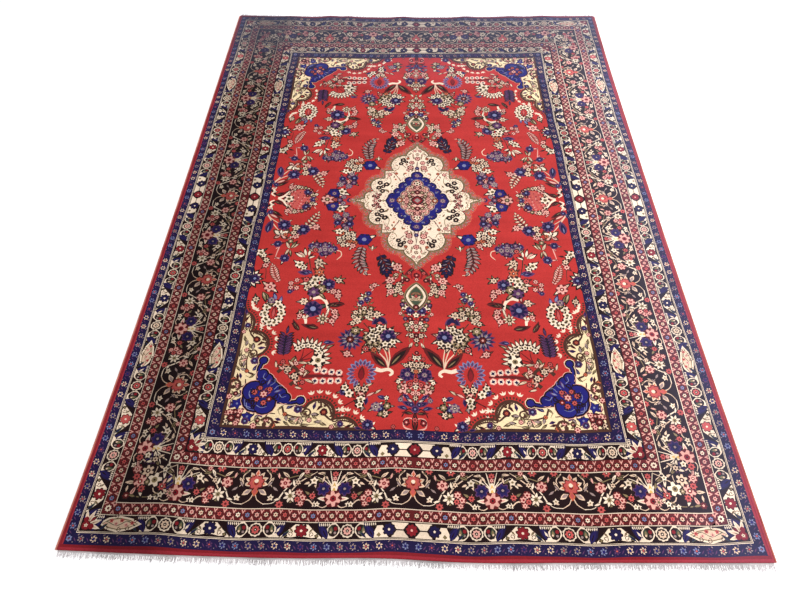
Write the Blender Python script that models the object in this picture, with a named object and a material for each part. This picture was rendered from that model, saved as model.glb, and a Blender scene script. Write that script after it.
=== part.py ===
"""A hand-knotted wool rug of about 2.5 by 3.5 metres, lying flat on a floor.

The pile carpet is one slab with a slightly waisted outline and a few small ripples along
its back end. A corded selvedge runs down each long side, and each short end has a narrow
woven cotton strip with the fringe growing out of it. Metres, +Z up, front end at -Y.
"""

import collections
import math
import random

import bmesh
import bpy
import numpy as np
from mathutils import Vector

# Driving dimensions
PILE_THICKNESS = 0.011      # knots, foundation and pile together
PILE_EDGE_ROUND = 0.0025    # how far the pile rolls over at the rim
CORD_RADIUS = 0.0046        # the overcast cord of a selvedge
PIECE_GAP = 0.0003          # clear space between neighbouring pieces
STRIP_DEPTH = 0.005         # woven cotton strip at each end, across the rug's length
STRIP_THICKNESS = 0.0028
LOCKS_PER_END = 140         # locks of fringe on one strip
FRONT_LOCK_LENGTH = 0.021
BACK_LOCK_LENGTH = 0.031
LOCK_LENGTH_SPREAD = 0.20   # share by which a lock may be longer or shorter
LOCK_DRIFT = 0.0020         # how far a lock's tip wanders sideways

# The slab's mesh: even columns across, and rows that are closer where the ripples are
COLUMNS = 64
PLAIN_ROWS = 14
RIPPLED_ROWS = 10
RIPPLED_SHARE = 0.175       # share of the length, at the back, that has the close rows
LEAST_LIFT = 0.0002         # the slab lies flat wherever its ripples are lower than this
WELD_DISTANCE = 0.00001
UPRIGHT = 0.5               # a wall's normal has a smaller Z than this

# The long sides, from the front end to the back: the rug is narrowest past its middle
Side = collections.namedtuple("Side", "y left right")
SIDES = (
    Side(y=-1.735, left=-1.254, right=1.254),
    Side(y=-1.500, left=-1.245, right=1.250),
    Side(y=-1.050, left=-1.235, right=1.242),
    Side(y=-0.500, left=-1.227, right=1.236),
    Side(y=0.100, left=-1.223, right=1.233),
    Side(y=0.700, left=-1.222, right=1.232),
    Side(y=1.200, left=-1.222, right=1.234),
    Side(y=1.725, left=-1.222, right=1.243),
)

# The short ends, from the left corner to the right, where the pile stops
End = collections.namedtuple("End", "x front back")
ENDS = (
    End(x=-1.250, front=-1.722, back=1.719),
    End(x=-0.900, front=-1.730, back=1.704),
    End(x=-0.450, front=-1.735, back=1.699),
    End(x=-0.100, front=-1.730, back=1.693),
    End(x=0.180, front=-1.739, back=1.695),
    End(x=0.600, front=-1.733, back=1.705),
    End(x=1.000, front=-1.727, back=1.716),
    End(x=1.250, front=-1.723, back=1.719),
)

# Ripples that rise towards the back end, each fading out as it runs into the rug
Ripple = collections.namedtuple("Ripple", "x height half_width reach")
RIPPLES = (
    Ripple(x=-0.845, height=0.004, half_width=0.075, reach=0.24),
    Ripple(x=-0.580, height=0.009, half_width=0.060, reach=0.34),
    Ripple(x=-0.455, height=0.006, half_width=0.055, reach=0.26),
    Ripple(x=-0.085, height=0.008, half_width=0.060, reach=0.36),
    Ripple(x=0.345, height=0.007, half_width=0.060, reach=0.32),
    Ripple(x=0.650, height=0.005, half_width=0.065, reach=0.28),
    Ripple(x=0.880, height=0.005, half_width=0.065, reach=0.24),
)

# A lock of fringe is drawn out of its strip in two lengths. Each row gives the shares of the
# lock's length, width, thickness and sideways drift, and of its root's height above the floor
LockStep = collections.namedtuple("LockStep", "reach width thickness drift height")
LOCK_STEPS = (
    LockStep(reach=0.45, width=0.86, thickness=0.80, drift=0.35, height=0.35),
    LockStep(reach=1.00, width=0.40, thickness=0.50, drift=1.00, height=0.00),
)

MADDER = (0.46, 0.035, 0.030)
SELVEDGE_RED = (0.50, 0.075, 0.035)
COTTON = (0.66, 0.63, 0.60)


def along_table(table, key, column, at):
    """A column's value at a place along the key, on a smooth curve through the rows."""
    keys = [getattr(row, key) for row in table]
    values = [getattr(row, column) for row in table]
    slopes = np.gradient(values, keys)
    at = min(max(at, keys[0]), keys[-1])
    index = min(int(np.searchsorted(keys, at, side="right")), len(keys) - 1) - 1
    step = keys[index + 1] - keys[index]
    share = (at - keys[index]) / step
    rise = values[index + 1] - values[index]
    start = slopes[index] * step - rise
    finish = rise - slopes[index + 1] * step
    bend = share * (1 - share) * ((1 - share) * start + share * finish)
    return values[index] + rise * share + bend


def lift(x, y):
    """How high the ripples raise the rug above the floor at a place."""
    back = along_table(ENDS, "x", "back", x)
    height = 0.0
    for ripple in RIPPLES:
        run = min(max((y - back) / ripple.reach + 1, 0.0), 1.0)
        swell = run * run * (3 - 2 * run)
        height += ripple.height * swell * math.exp(-(((x - ripple.x) / ripple.half_width) ** 2))
    return height if height > LEAST_LIFT else 0.0


def row_shares():
    """Places from the front end, 0, to the back end, 1, of the slab's cross rows."""
    plain = np.linspace(0, 1 - RIPPLED_SHARE, PLAIN_ROWS, endpoint=False)
    return np.append(plain, np.linspace(1 - RIPPLED_SHARE, 1, RIPPLED_ROWS + 1))


def slab_point(across, lengthwise):
    """A point on the slab's underside, from its shares of the width and the length."""
    inset = 2 * CORD_RADIUS + PIECE_GAP
    nominal_x = SIDES[0].left + across * (SIDES[0].right - SIDES[0].left)
    front = along_table(ENDS, "x", "front", nominal_x)
    back = along_table(ENDS, "x", "back", nominal_x)
    y = front + lengthwise * (back - front)
    left = along_table(SIDES, "y", "left", y) + inset
    right = along_table(SIDES, "y", "right", y) - inset
    x = left + across * (right - left)
    return Vector((x, y, lift(x, y)))


def wool(name, colour, roughness):
    material = bpy.data.materials.new(name)
    material.use_nodes = True
    shader = material.node_tree.nodes["Principled BSDF"]
    shader.inputs["Base Color"].default_value = (*colour, 1)
    shader.inputs["Roughness"].default_value = roughness
    shader.inputs["Metallic"].default_value = 0.0
    return material


def add_part(name, mesh, material, collection):
    part = bpy.data.objects.new(name, mesh)
    mesh.materials.append(material)
    collection.objects.link(part)
    return part


def pile_carpet_mesh():
    """A grid laid to the rug's outline and ripples, and drawn up to its full thickness."""
    rows = row_shares()
    bm = bmesh.new()
    bmesh.ops.create_grid(bm, x_segments=COLUMNS, y_segments=len(rows) - 1, size=0.5)
    for vert in bm.verts:
        row = rows[round((vert.co.y + 0.5) * (len(rows) - 1))]
        vert.co = slab_point(vert.co.x + 0.5, row)
    drawn = bmesh.ops.extrude_face_region(bm, geom=list(bm.faces))
    top = [item for item in drawn["geom"] if isinstance(item, bmesh.types.BMVert)]
    bmesh.ops.translate(bm, verts=top, vec=(0, 0, PILE_THICKNESS))
    bmesh.ops.recalc_face_normals(bm, faces=bm.faces)
    raised = set(top)
    rim = [
        edge
        for edge in bm.edges
        if raised.issuperset(edge.verts)
        and min(abs(face.normal.z) for face in edge.link_faces) < UPRIGHT
    ]
    bmesh.ops.bevel(bm, geom=rim, offset=PILE_EDGE_ROUND, segments=1, affect="EDGES")
    mesh = bpy.data.meshes.new("pile_carpet")
    bm.to_mesh(mesh)
    bm.free()
    return mesh


def selvedge(name, across, outward, material, collection):
    """A cord laid along one side of the slab, as a tube with its ends capped."""
    curve = bpy.data.curves.new(name, "CURVE")
    curve.dimensions = "3D"
    curve.bevel_depth = CORD_RADIUS
    curve.bevel_resolution = 2
    curve.use_fill_caps = True
    rows = row_shares()
    spline = curve.splines.new("POLY")
    spline.points.add(len(rows) - 1)
    for point, row in zip(spline.points, rows):
        place = slab_point(across, row)
        place.x += outward * (PIECE_GAP + CORD_RADIUS)
        place.z += CORD_RADIUS
        point.co = (*place, 1)
    guide = bpy.data.objects.new(name + "_guide", curve)
    collection.objects.link(guide)
    graph = bpy.context.evaluated_depsgraph_get()
    mesh = bpy.data.meshes.new_from_object(guide.evaluated_get(graph))
    bpy.data.objects.remove(guide)
    bm = bmesh.new()
    bm.from_mesh(mesh)
    bmesh.ops.remove_doubles(bm, verts=bm.verts, dist=WELD_DISTANCE)
    bmesh.ops.recalc_face_normals(bm, faces=bm.faces)
    bm.to_mesh(mesh)
    bm.free()
    mesh.name = name
    mesh.shade_smooth()
    return add_part(name, mesh, material, collection)


def end_line(lengthwise):
    """The slab's end as a line of points, run out to the outer sides of both cords."""
    shares = np.linspace(0, 1, COLUMNS + 1)
    points = [slab_point(share, lengthwise) for share in shares]
    overhang = 2 * CORD_RADIUS + PIECE_GAP
    points.insert(0, points[0] - Vector((overhang, 0, 0)))
    points.append(points[-1] + Vector((overhang, 0, 0)))
    return np.array(points)


def fringe_mesh(name, lengthwise, outward, lock_length, seed):
    """A woven strip along one end, with every other facet of its outer face drawn out."""
    line = end_line(lengthwise)
    facets = 2 * LOCKS_PER_END + 1
    bm = bmesh.new()
    bmesh.ops.create_grid(bm, x_segments=facets, y_segments=1, size=0.5)
    for vert in bm.verts:
        across = vert.co.x + 0.5
        x = line[0][0] + across * (line[-1][0] - line[0][0])
        depth = PIECE_GAP + (STRIP_DEPTH if vert.co.y > 0 else 0.0)
        y = np.interp(x, line[:, 0], line[:, 1]) + outward * depth
        vert.co = (x, y, np.interp(x, line[:, 0], line[:, 2]))
    drawn = bmesh.ops.extrude_face_region(bm, geom=list(bm.faces))
    top = [item for item in drawn["geom"] if isinstance(item, bmesh.types.BMVert)]
    bmesh.ops.translate(bm, verts=top, vec=(0, 0, STRIP_THICKNESS))
    bmesh.ops.recalc_face_normals(bm, faces=bm.faces)
    outer = [face for face in bm.faces if face.normal.y * outward > UPRIGHT]
    outer.sort(key=lambda face: face.calc_center_median().x)
    rng = random.Random(seed)
    for face in outer[1::2]:
        length = lock_length * (1 + rng.uniform(-LOCK_LENGTH_SPREAD, LOCK_LENGTH_SPREAD))
        drift = rng.uniform(-LOCK_DRIFT, LOCK_DRIFT)
        draw_lock(bm, face, outward, length, drift)
    mesh = bpy.data.meshes.new(name)
    bm.to_mesh(mesh)
    bm.free()
    return mesh


def draw_lock(bm, face, outward, length, drift):
    """One lock: the facet is drawn out twice, narrowing, and comes down onto the floor."""
    root = face.calc_center_median()
    floor = min(vert.co.z for vert in face.verts)
    offsets = {}
    for step in LOCK_STEPS:
        face = bmesh.ops.extrude_discrete_faces(bm, faces=[face])["faces"][0]
        if not offsets:
            offsets = {index: vert.co - root for index, vert in enumerate(face.verts)}
        for index, vert in enumerate(face.verts):
            aside = offsets[index].x * step.width + drift * step.drift
            raised = STRIP_THICKNESS * step.thickness if offsets[index].z > 0 else 0.0
            vert.co.x = root.x + aside
            vert.co.y = root.y + outward * length * step.reach
            vert.co.z = floor * step.height + raised


def build():
    for old in list(bpy.data.objects):
        bpy.data.objects.remove(old, do_unlink=True)
    collection = bpy.data.collections.new("persian_rug")
    bpy.context.scene.collection.children.link(collection)

    pile = wool("madder_wool", MADDER, 0.9)
    cord = wool("selvedge_wool", SELVEDGE_RED, 0.85)
    cotton = wool("fringe_cotton", COTTON, 0.9)

    add_part("pile_carpet", pile_carpet_mesh(), pile, collection)
    selvedge("selvedge_left", 0, -1, cord, collection)
    selvedge("selvedge_right", 1, 1, cord, collection)
    front = fringe_mesh("fringe_front", 0, -1, FRONT_LOCK_LENGTH, seed=11)
    back = fringe_mesh("fringe_back", 1, 1, BACK_LOCK_LENGTH, seed=23)
    add_part("fringe_front", front, cotton, collection)
    add_part("fringe_back", back, cotton, collection)


build()
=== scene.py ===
"""The looks of a hand-knotted wool rug, about 2.5 by 3.5 metres, lying on a pale floor.

The pattern is knotted in flat pieces of pile: every petal, leaf and line is an outline on
the knot lattice, and all of a piece's outlines are cut into one mesh, each patch in its dye.
"""

import collections
import math

import bpy
import numpy as np
from mathutils import Matrix, Vector
from mathutils.bvhtree import BVHTree
from mathutils.geometry import delaunay_2d_cdt


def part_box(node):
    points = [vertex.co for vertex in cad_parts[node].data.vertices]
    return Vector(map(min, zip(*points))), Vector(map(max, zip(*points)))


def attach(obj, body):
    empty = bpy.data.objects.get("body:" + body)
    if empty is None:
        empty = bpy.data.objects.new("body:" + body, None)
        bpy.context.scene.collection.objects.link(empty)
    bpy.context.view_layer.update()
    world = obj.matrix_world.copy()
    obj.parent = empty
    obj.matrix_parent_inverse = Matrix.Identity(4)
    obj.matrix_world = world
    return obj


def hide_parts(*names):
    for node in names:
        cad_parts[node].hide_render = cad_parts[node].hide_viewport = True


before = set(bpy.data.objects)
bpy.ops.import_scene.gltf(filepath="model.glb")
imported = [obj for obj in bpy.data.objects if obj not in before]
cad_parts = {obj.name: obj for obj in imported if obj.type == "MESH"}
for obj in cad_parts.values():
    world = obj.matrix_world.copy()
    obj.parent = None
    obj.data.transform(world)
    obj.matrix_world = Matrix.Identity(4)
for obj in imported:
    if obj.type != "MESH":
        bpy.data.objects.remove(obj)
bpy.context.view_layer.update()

# ---------------------------------------------------------------- view
# The rug is seen from a standing person's height over its front end, turned a little to the
# left, through a wide lens.
CAMERA_PLACE = (-0.0200, -2.0477, 2.0890)
CAMERA_YAW, CAMERA_DOWN, CAMERA_ROLL = -1.6532, 56.1878, -0.7938
CAMERA_LENS = 24.803


def in_scene(name, data):
    """An object of the scene that holds a mesh, a lamp or a camera."""
    held = bpy.data.objects.new(name, data)
    bpy.context.scene.collection.objects.link(held)
    return held


camera = in_scene("camera", bpy.data.cameras.new("camera"))
camera.data.lens = CAMERA_LENS
camera.data.sensor_width = 36.0
camera.data.clip_end = 60.0
camera.matrix_world = (
    Matrix.Translation(CAMERA_PLACE)
    @ Matrix.Rotation(math.radians(-CAMERA_YAW), 4, "Z")
    @ Matrix.Rotation(math.radians(90 - CAMERA_DOWN), 4, "X")
    @ Matrix.Rotation(math.radians(CAMERA_ROLL), 4, "Z")
)
bpy.context.scene.camera = camera
bpy.context.scene.view_settings.view_transform = "Standard"

# ---------------------------------------------------------------- foundation
# Cotton warps and wefts carry the knots. They are one flat sheet under the pile, with the
# rug's waisted outline and ripples, and the pattern shows through on its back.
HALF_WIDTH, HALF_LENGTH = 1232.0, 1719.0    # the pattern's own flat rectangle, millimetres
END_MARGIN = 8.0                            # how much wider the plain red edge is at the ends
PILE_TOP = 0.011
KNOT = 2.2                                  # one knot of the lattice, millimetres

Ripple = collections.namedtuple("Ripple", "x height half_width reach")
RIPPLES = (
    Ripple(x=-0.845, height=0.004, half_width=0.075, reach=0.24),
    Ripple(x=-0.580, height=0.009, half_width=0.060, reach=0.34),
    Ripple(x=-0.455, height=0.006, half_width=0.055, reach=0.26),
    Ripple(x=-0.085, height=0.008, half_width=0.060, reach=0.36),
    Ripple(x=0.345, height=0.007, half_width=0.060, reach=0.32),
    Ripple(x=0.650, height=0.005, half_width=0.065, reach=0.28),
    Ripple(x=0.880, height=0.005, half_width=0.065, reach=0.24),
)

# In-plane waver of the woven lines: wave length along x or y and how far it pushes, in mm
Waver = collections.namedtuple("Waver", "length start sideways lengthwise")
WAVERS = (
    Waver(length=1180.0, start=0.6, sideways=2.4, lengthwise=3.2),
    Waver(length=430.0, start=2.1, sideways=1.4, lengthwise=2.4),
    Waver(length=205.0, start=4.0, sideways=0.6, lengthwise=0.9),
)
MIDDLE_DRIFT = (12.0, -20.0)                # the medallion sits a little off the middle
CALM_EDGE = 24.0                            # the waver dies out towards the rug's edges
FELT_HEIGHTS = 0.004, 0.008, 0.012, 0.016   # where the solid's sides are felt, metres


def outline_of_slab(node):
    """The slab's sides and ends, felt with rays from outside at several heights."""
    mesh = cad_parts[node].data
    tree = BVHTree.FromPolygons(
        [tuple(vert.co) for vert in mesh.vertices],
        [tuple(face.vertices) for face in mesh.polygons],
    )

    def felt(start, step):
        reaches = []
        for height in FELT_HEIGHTS:
            hit = tree.ray_cast(Vector((*start, height)), Vector((*step, 0)))
            if hit[0] is not None:
                reaches.append(hit[3])
        return min(reaches)

    ys = np.linspace(-1.70, 1.68, 60)
    xs = np.linspace(-1.21, 1.21, 60)
    return {
        "ys": ys,
        "left": np.array([felt((-3, y), (1, 0)) - 3 for y in ys]),
        "right": np.array([3 - felt((3, y), (-1, 0)) for y in ys]),
        "xs": xs,
        "front": np.array([felt((x, -3), (0, 1)) - 3 for x in xs]),
        "back": np.array([3 - felt((x, 3), (0, -1)) for x in xs]),
    }


SLAB = outline_of_slab("pile_carpet")


def reached(name, at):
    """The slab's left, right, front or back edge at a place, run straight past its ends."""
    keys = SLAB["ys" if name in ("left", "right") else "xs"]
    values = SLAB[name]
    inside = np.interp(at, keys, values)
    before = (values[1] - values[0]) / (keys[1] - keys[0]) * np.minimum(at - keys[0], 0)
    after = (values[-1] - values[-2]) / (keys[-1] - keys[-2]) * np.maximum(at - keys[-1], 0)
    return inside + before + after


def lift(x, y):
    """How high the ripples raise the rug off the floor, as in the solid."""
    back = reached("back", x)
    height = np.zeros(len(x))
    for ripple in RIPPLES:
        run = np.clip((y - back) / ripple.reach + 1, 0, 1)
        bell = np.exp(-(((x - ripple.x) / ripple.half_width) ** 2))
        height += ripple.height * run * run * (3 - 2 * run) * bell
    return height


def laid(points, height):
    """Takes points of the flat pattern, in mm, to their places on the rug, in metres."""
    points = np.asarray(points, float)
    x, y = points[:, 0], points[:, 1]
    inside = np.minimum(HALF_WIDTH - abs(x), HALF_LENGTH - abs(y))
    calm = np.clip(inside / CALM_EDGE, 0, 1)
    middle = np.cos(math.pi / 2 * x / HALF_WIDTH) * np.cos(math.pi / 2 * y / HALF_LENGTH)
    sideways, lengthwise = MIDDLE_DRIFT[0] * middle, MIDDLE_DRIFT[1] * middle
    for waver in WAVERS:
        turn = 2 * math.pi / waver.length
        sideways = sideways + calm * waver.sideways * np.sin(turn * y + waver.start)
        lengthwise = lengthwise + calm * waver.lengthwise * np.sin(turn * x + waver.start)
    across = (x + sideways) / HALF_WIDTH / 2 + 0.5
    along = (y + lengthwise) / HALF_LENGTH / 2 + 0.5
    rough_x = -1.24 + across * 2.48
    front, back = reached("front", rough_x), reached("back", rough_x)
    real_y = front + along * (back - front)
    left, right = reached("left", real_y), reached("right", real_y)
    real_x = left + across * (right - left)
    return np.column_stack((real_x, real_y, lift(real_x, real_y) + height))


def add_mesh(name, points, faces, material):
    """A mesh object from points and faces, in one material."""
    mesh = bpy.data.meshes.new(name)
    mesh.from_pydata([tuple(p) for p in points], [], [tuple(f) for f in faces])
    mesh.materials.append(material)
    return in_scene(name, mesh)


def new_material(name):
    """A material with its node tree and its Principled shader."""
    material = bpy.data.materials.new(name)
    material.use_nodes = True
    tree = material.node_tree
    return material, tree, tree.nodes["Principled BSDF"]


def fed(tree, node, *feeds, **values):
    """Fills a node's inputs, in order or by name, with values or with other nodes' outputs."""
    named = [(node.inputs[key.replace("_", " ")], value) for key, value in values.items()]
    for socket, value in [*zip(node.inputs, feeds), *named]:
        if isinstance(value, bpy.types.NodeSocket):
            tree.links.new(value, socket)
        elif value is not None:
            socket.default_value = value
    return node


def add_node(tree, kind, *feeds, **values):
    """A new node, where a name that is one of its own settings sets that, not an input."""
    node = tree.nodes.new(kind)
    for key in [key for key in values if hasattr(node, key)]:
        setattr(node, key, values.pop(key))
    return fed(tree, node, *feeds, **values)


def calculated(tree, operation, *feeds, **values):
    return add_node(tree, "ShaderNodeMath", *feeds, operation=operation, **values).outputs[0]


def noise(tree, vector, **values):
    return add_node(tree, "ShaderNodeTexNoise", Vector=vector, **values).outputs["Fac"]


def bumped(tree, height, strength, distance):
    bump = add_node(tree, "ShaderNodeBump", Strength=strength, Distance=distance, Height=height)
    return bump.outputs["Normal"]


def ramp(tree, value, stops, interpolation="LINEAR"):
    """The colour for a value, from rows of (position, colour)."""
    node = add_node(tree, "ShaderNodeValToRGB", value)
    node.color_ramp.interpolation = interpolation
    elements = node.color_ramp.elements
    for index, (position, colour) in enumerate(stops):
        stop = elements[index] if index < 2 else elements.new(position)
        stop.position = position
        stop.color = (*colour, 1)
    return node.outputs["Color"]


def new_group(name, tree_type, takes, gives):
    """A group with its sockets; each row is a name, a kind and, at will, the usual value."""
    group = bpy.data.node_groups.new(name, tree_type)
    for in_out, rows in (("INPUT", takes), ("OUTPUT", gives)):
        for label, kind, *usual in rows:
            kind = "NodeSocket" + kind
            socket = group.interface.new_socket(label, in_out=in_out, socket_type=kind)
            if usual:
                socket.default_value = usual[0]
    return group, group.nodes.new("NodeGroupInput").outputs, group.nodes.new("NodeGroupOutput")


def knot_group():
    """Rows of knots on the lattice: a height, and a tint that differs from knot to knot."""
    takes = (("Vector", "Vector"), ("Pitch", "Float"))
    gives = (("Height", "Float"), ("Tint", "Float"))
    group, given, end = new_group("Knots", "ShaderNodeTree", takes, gives)
    knots = add_node(
        group, "ShaderNodeTexVoronoi", voronoi_dimensions="2D", Vector=given["Vector"],
        Scale=calculated(group, "DIVIDE", 1.0, given["Pitch"]), Randomness=0.55,
    ).outputs
    round_off = calculated(group, "SUBTRACT", 1.0, knots["Distance"], use_clamp=True)
    split = add_node(group, "ShaderNodeSeparateColor", knots["Color"])
    fed(group, end, Height=round_off, Tint=split.outputs[0])
    return group


def abrash_group():
    """Dye lots that change as the rug is knotted: soft bands across it, and faint clouds."""
    takes, gives = (("Vector", "Vector"),), (("Shade", "Float"),)
    group, given, end = new_group("Abrash", "ShaderNodeTree", takes, gives)
    stretch = add_node(group, "ShaderNodeMapping", Vector=given["Vector"], Scale=(0.35, 9.0, 1.0))
    bands = noise(group, stretch.outputs["Vector"], Scale=1.0, Detail=4.0, Roughness=0.62)
    clouds = noise(group, given["Vector"], Scale=5.0, Detail=3.0, Roughness=0.6)
    both = add_node(group, "ShaderNodeMix", Factor=0.35, A=bands, B=clouds)
    fed(group, end, Shade=both.outputs["Result"])
    return group


KNOTS = knot_group()
ABRASH = abrash_group()

# The back of the rug shows the borders as plain rings: how deep each begins, in metres.
BackRing = collections.namedtuple("BackRing", "depth colour")
BACK_RINGS = (
    BackRing(0.000, (0.300, 0.030, 0.022)), BackRing(0.015, (0.030, 0.014, 0.048)),
    BackRing(0.056, (0.300, 0.220, 0.160)), BackRing(0.117, (0.170, 0.020, 0.022)),
    BackRing(0.160, (0.110, 0.070, 0.062)), BackRing(0.309, (0.170, 0.020, 0.022)),
    BackRing(0.352, (0.300, 0.220, 0.160)), BackRing(0.418, (0.030, 0.014, 0.048)),
    BackRing(0.463, (0.360, 0.034, 0.030)),
)
WARP_RIB = 0.0024                           # one warp's width on the back, metres
BASE_TOP = 0.0085                           # how high the foundation reaches into the pile
BASE_STEP = 40.0                            # its squares, millimetres


def slab_of(name, top, bottom, material):
    """A closed sheet over the whole flat pattern, from one height to another."""
    xs = np.linspace(-HALF_WIDTH, HALF_WIDTH, round(2 * HALF_WIDTH / BASE_STEP))
    ys = np.linspace(-HALF_LENGTH, HALF_LENGTH, round(2 * HALF_LENGTH / BASE_STEP))
    grid = np.array([(x, y) for y in ys for x in xs])
    points = np.vstack((laid(grid, top), laid(grid, bottom)))
    wide, deep, under = len(xs), len(ys), len(grid)
    faces = []
    for row in range(deep - 1):
        for column in range(wide - 1):
            corner = row * wide + column
            quad = (corner, corner + 1, corner + wide + 1, corner + wide)
            faces.append(quad)
            faces.append(tuple(under + k for k in quad[::-1]))
    rim = [*range(wide - 1), *range(wide - 1, under - 1, wide)]
    rim += [*range(under - 1, under - wide, -1), *range(under - wide, 0, -wide)]
    for a, b in zip(rim, rim[1:] + rim[:1]):
        faces.append((a, a + under, b + under, b))
    piece = add_mesh(name, points, faces, material)
    flat = np.vstack((grid, grid)) / 1000
    corners = np.array([k for face in faces for k in face])
    piece.data.uv_layers.new(name="pattern").data.foreach_set("uv", flat[corners].ravel())
    return piece


base, tree, shader = new_material("cotton back")
place = add_node(tree, "ShaderNodeUVMap", uv_map="pattern").outputs["UV"]
split = add_node(tree, "ShaderNodeSeparateXYZ", place)
depths = []
for axis, reach in (("X", HALF_WIDTH / 1000), ("Y", HALF_LENGTH / 1000)):
    away = calculated(tree, "ABSOLUTE", split.outputs[axis])
    depths.append(calculated(tree, "SUBTRACT", reach, away))
rings = ramp(tree, calculated(tree, "MINIMUM", *depths), BACK_RINGS, "CONSTANT")
ribs = add_node(
    tree, "ShaderNodeTexWave", wave_type="BANDS", bands_direction="X", Vector=place,
    Distortion=0.6, Scale=1 / WARP_RIB / 20 * math.pi,
)
weave = bumped(tree, ribs.outputs["Fac"], 0.4, 0.0006)
fed(tree, shader, Base_Color=rings, Roughness=0.92, Normal=weave)
foundation = slab_of("foundation", BASE_TOP, 0.0, base)
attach(foundation, "root")
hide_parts("pile_carpet")

# ---------------------------------------------------------------- red edge
# Plain rows of red and crimson wool frame the pattern, about 11 mm wide along the
# sides and 19 mm at the ends. The outermost rows roll down to the foundation's edge.
# The dyes' red, green and blue, as linear values
DYES = {
    "madder": (0.470, 0.032, 0.028), "crimson": (0.230, 0.014, 0.020),
    "edge": (0.330, 0.026, 0.038), "orange": (0.560, 0.130, 0.060),
    "navy": (0.015, 0.010, 0.050), "night": (0.014, 0.005, 0.006),
    "blue": (0.016, 0.014, 0.150), "sky": (0.200, 0.210, 0.360),
    "purple": (0.105, 0.036, 0.105), "grey": (0.330, 0.230, 0.210),
    "ivory": (0.900, 0.710, 0.530), "cream": (0.760, 0.530, 0.370),
    "straw": (0.880, 0.680, 0.400), "indigo": (0.020, 0.013, 0.085),
    "yellow": (0.700, 0.420, 0.130), "pink": (0.780, 0.380, 0.310),
    "rose": (0.520, 0.090, 0.080), "maroon": (0.122, 0.014, 0.015),
    "olive": (0.230, 0.165, 0.080), "green": (0.055, 0.075, 0.045),
    "brown": (0.075, 0.030, 0.020), "dark": (0.020, 0.010, 0.010),
}
PATTERN_LENGTH = HALF_LENGTH - END_MARGIN
STATION = 30.0                              # spacing of the points that follow the ripples
TONE_SPREAD = 0.06                          # how far one patch of a dye is off the next
RIM_ROLL, RIM_DROP = 3.0, 0.0025


def at_depth(depth):
    """Half width and half length of the pattern's frame at a depth from the rug's sides."""
    return HALF_WIDTH - depth, PATTERN_LENGTH - depth


def stations(reach):
    """Places along a line from -reach to reach, the same on both sides of the line."""
    count = int((reach - 8) // STATION)
    return np.concatenate(([-reach], np.arange(-count, count + 1) * STATION, [reach]))


def band(dye, outer, inner):
    """Four mitred strips between two rectangles, each given as (half width, half length)."""
    shapes = []
    for swap in (False, True):
        a, b = (outer[::-1], inner[::-1]) if swap else (outer, inner)
        far, near = stations(a[0]), stations(b[0])[::-1]
        strip = np.vstack((
            np.column_stack((far, np.full(len(far), -a[1]))),
            np.column_stack((near, np.full(len(near), -b[1]))),
        ))
        strip = strip[::-1, ::-1] if swap else strip
        shapes += [(dye, strip), (dye, -strip)]
    return shapes


def snapped(outline):
    """An outline moved to the nearest half knots, without the repeats that this makes."""
    outline = np.round(np.asarray(outline) / KNOT * 2) * KNOT / 2
    keep = (outline != np.roll(outline, 1, axis=0)).any(axis=1)
    return outline[keep]


def anticlockwise(outline):
    area = np.cross(outline, np.roll(outline, -1, axis=0)).sum()
    return outline if area > 0 else outline[::-1]


def inlay(name, grounds, motifs, material, seed):
    """Cuts overlapping outlines into one mesh, where the topmost outline gives the dye.

    Both lists hold (dye, outline) from the bottom up. What is off the grounds is left out,
    and a ground whose dye is None cuts a hole for another piece.
    """
    motifs = [(dye, snapped(outline)) for dye, outline in motifs]
    shapes = grounds + [(dye, outline) for dye, outline in motifs if len(outline) > 2]
    tone = np.random.default_rng(seed).normal(1, TONE_SPREAD, len(shapes)).clip(0.8, 1.2)
    dyes = np.array([DYES.get(dye, (0, 0, 0)) for dye, _ in shapes]) * tone[:, None]
    points, faces = [], []
    for _, outline in shapes:
        faces.append(list(range(len(points), len(points) + len(outline))))
        points.extend(anticlockwise(outline))
    reach = np.abs(np.array(points)).max(axis=0) - STATION / 2
    for x in np.arange(-reach[0], reach[0], STATION):
        points.extend((x, y) for y in np.arange(-reach[1], reach[1], STATION))
    points = [Vector(p) for p in points]
    corners, _, triangles, _, _, owners = delaunay_2d_cdt(points, [], faces, 1, 1e-3, True)
    under = [max([k for k in owner if k < len(grounds)], default=None) for owner in owners]
    kept = [k for k, ground in enumerate(under) if ground is not None and grounds[ground][0]]
    tops = np.array([max(owners[k]) for k in kept])
    used, triangles = np.unique([triangles[k] for k in kept], return_inverse=True)
    triangles = triangles.reshape(-1, 3)
    flat = np.array(corners)[used]
    inside = np.minimum(HALF_WIDTH - abs(flat[:, 0]), HALF_LENGTH - abs(flat[:, 1]))
    rim = np.clip(1 - inside / RIM_ROLL, 0, 1)
    piece = add_mesh(name, laid(flat, PILE_TOP - RIM_DROP * rim**2), triangles, material)
    data = piece.data
    shown = np.column_stack((dyes[tops], np.ones(len(tops))))
    dyed = data.attributes.new("dye", "FLOAT_COLOR", "CORNER")
    dyed.data.foreach_set("color", np.repeat(shown, 3, axis=0).ravel())
    place = data.uv_layers.new(name="pattern")
    place.data.foreach_set("uv", (flat[triangles.ravel()] / 1000).ravel())
    data.shade_smooth()
    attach(piece, "root")
    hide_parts("pile_carpet")
    return piece


# Painted light and shade on the borders, multiplied into the base colour along the rug: on which
# axis, from where to where in metres, and the shade at either end. It is fitted to the light in
# the photo, with a darker left border, a paler right one and a dark far end.
Shading = collections.namedtuple("Shading", "axis start end first last")
PAINTED_SHADE_ROWS = (
    Shading("X", start=-0.92, end=-0.78, first=0.52, last=1.0),
    Shading("X", start=-1.18, end=-1.08, first=1.90, last=1.0),
    Shading("X", start=0.80, end=0.95, first=1.0, last=1.20),
    Shading("Y", start=1.20, end=1.40, first=1.0, last=0.60),
)
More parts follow.
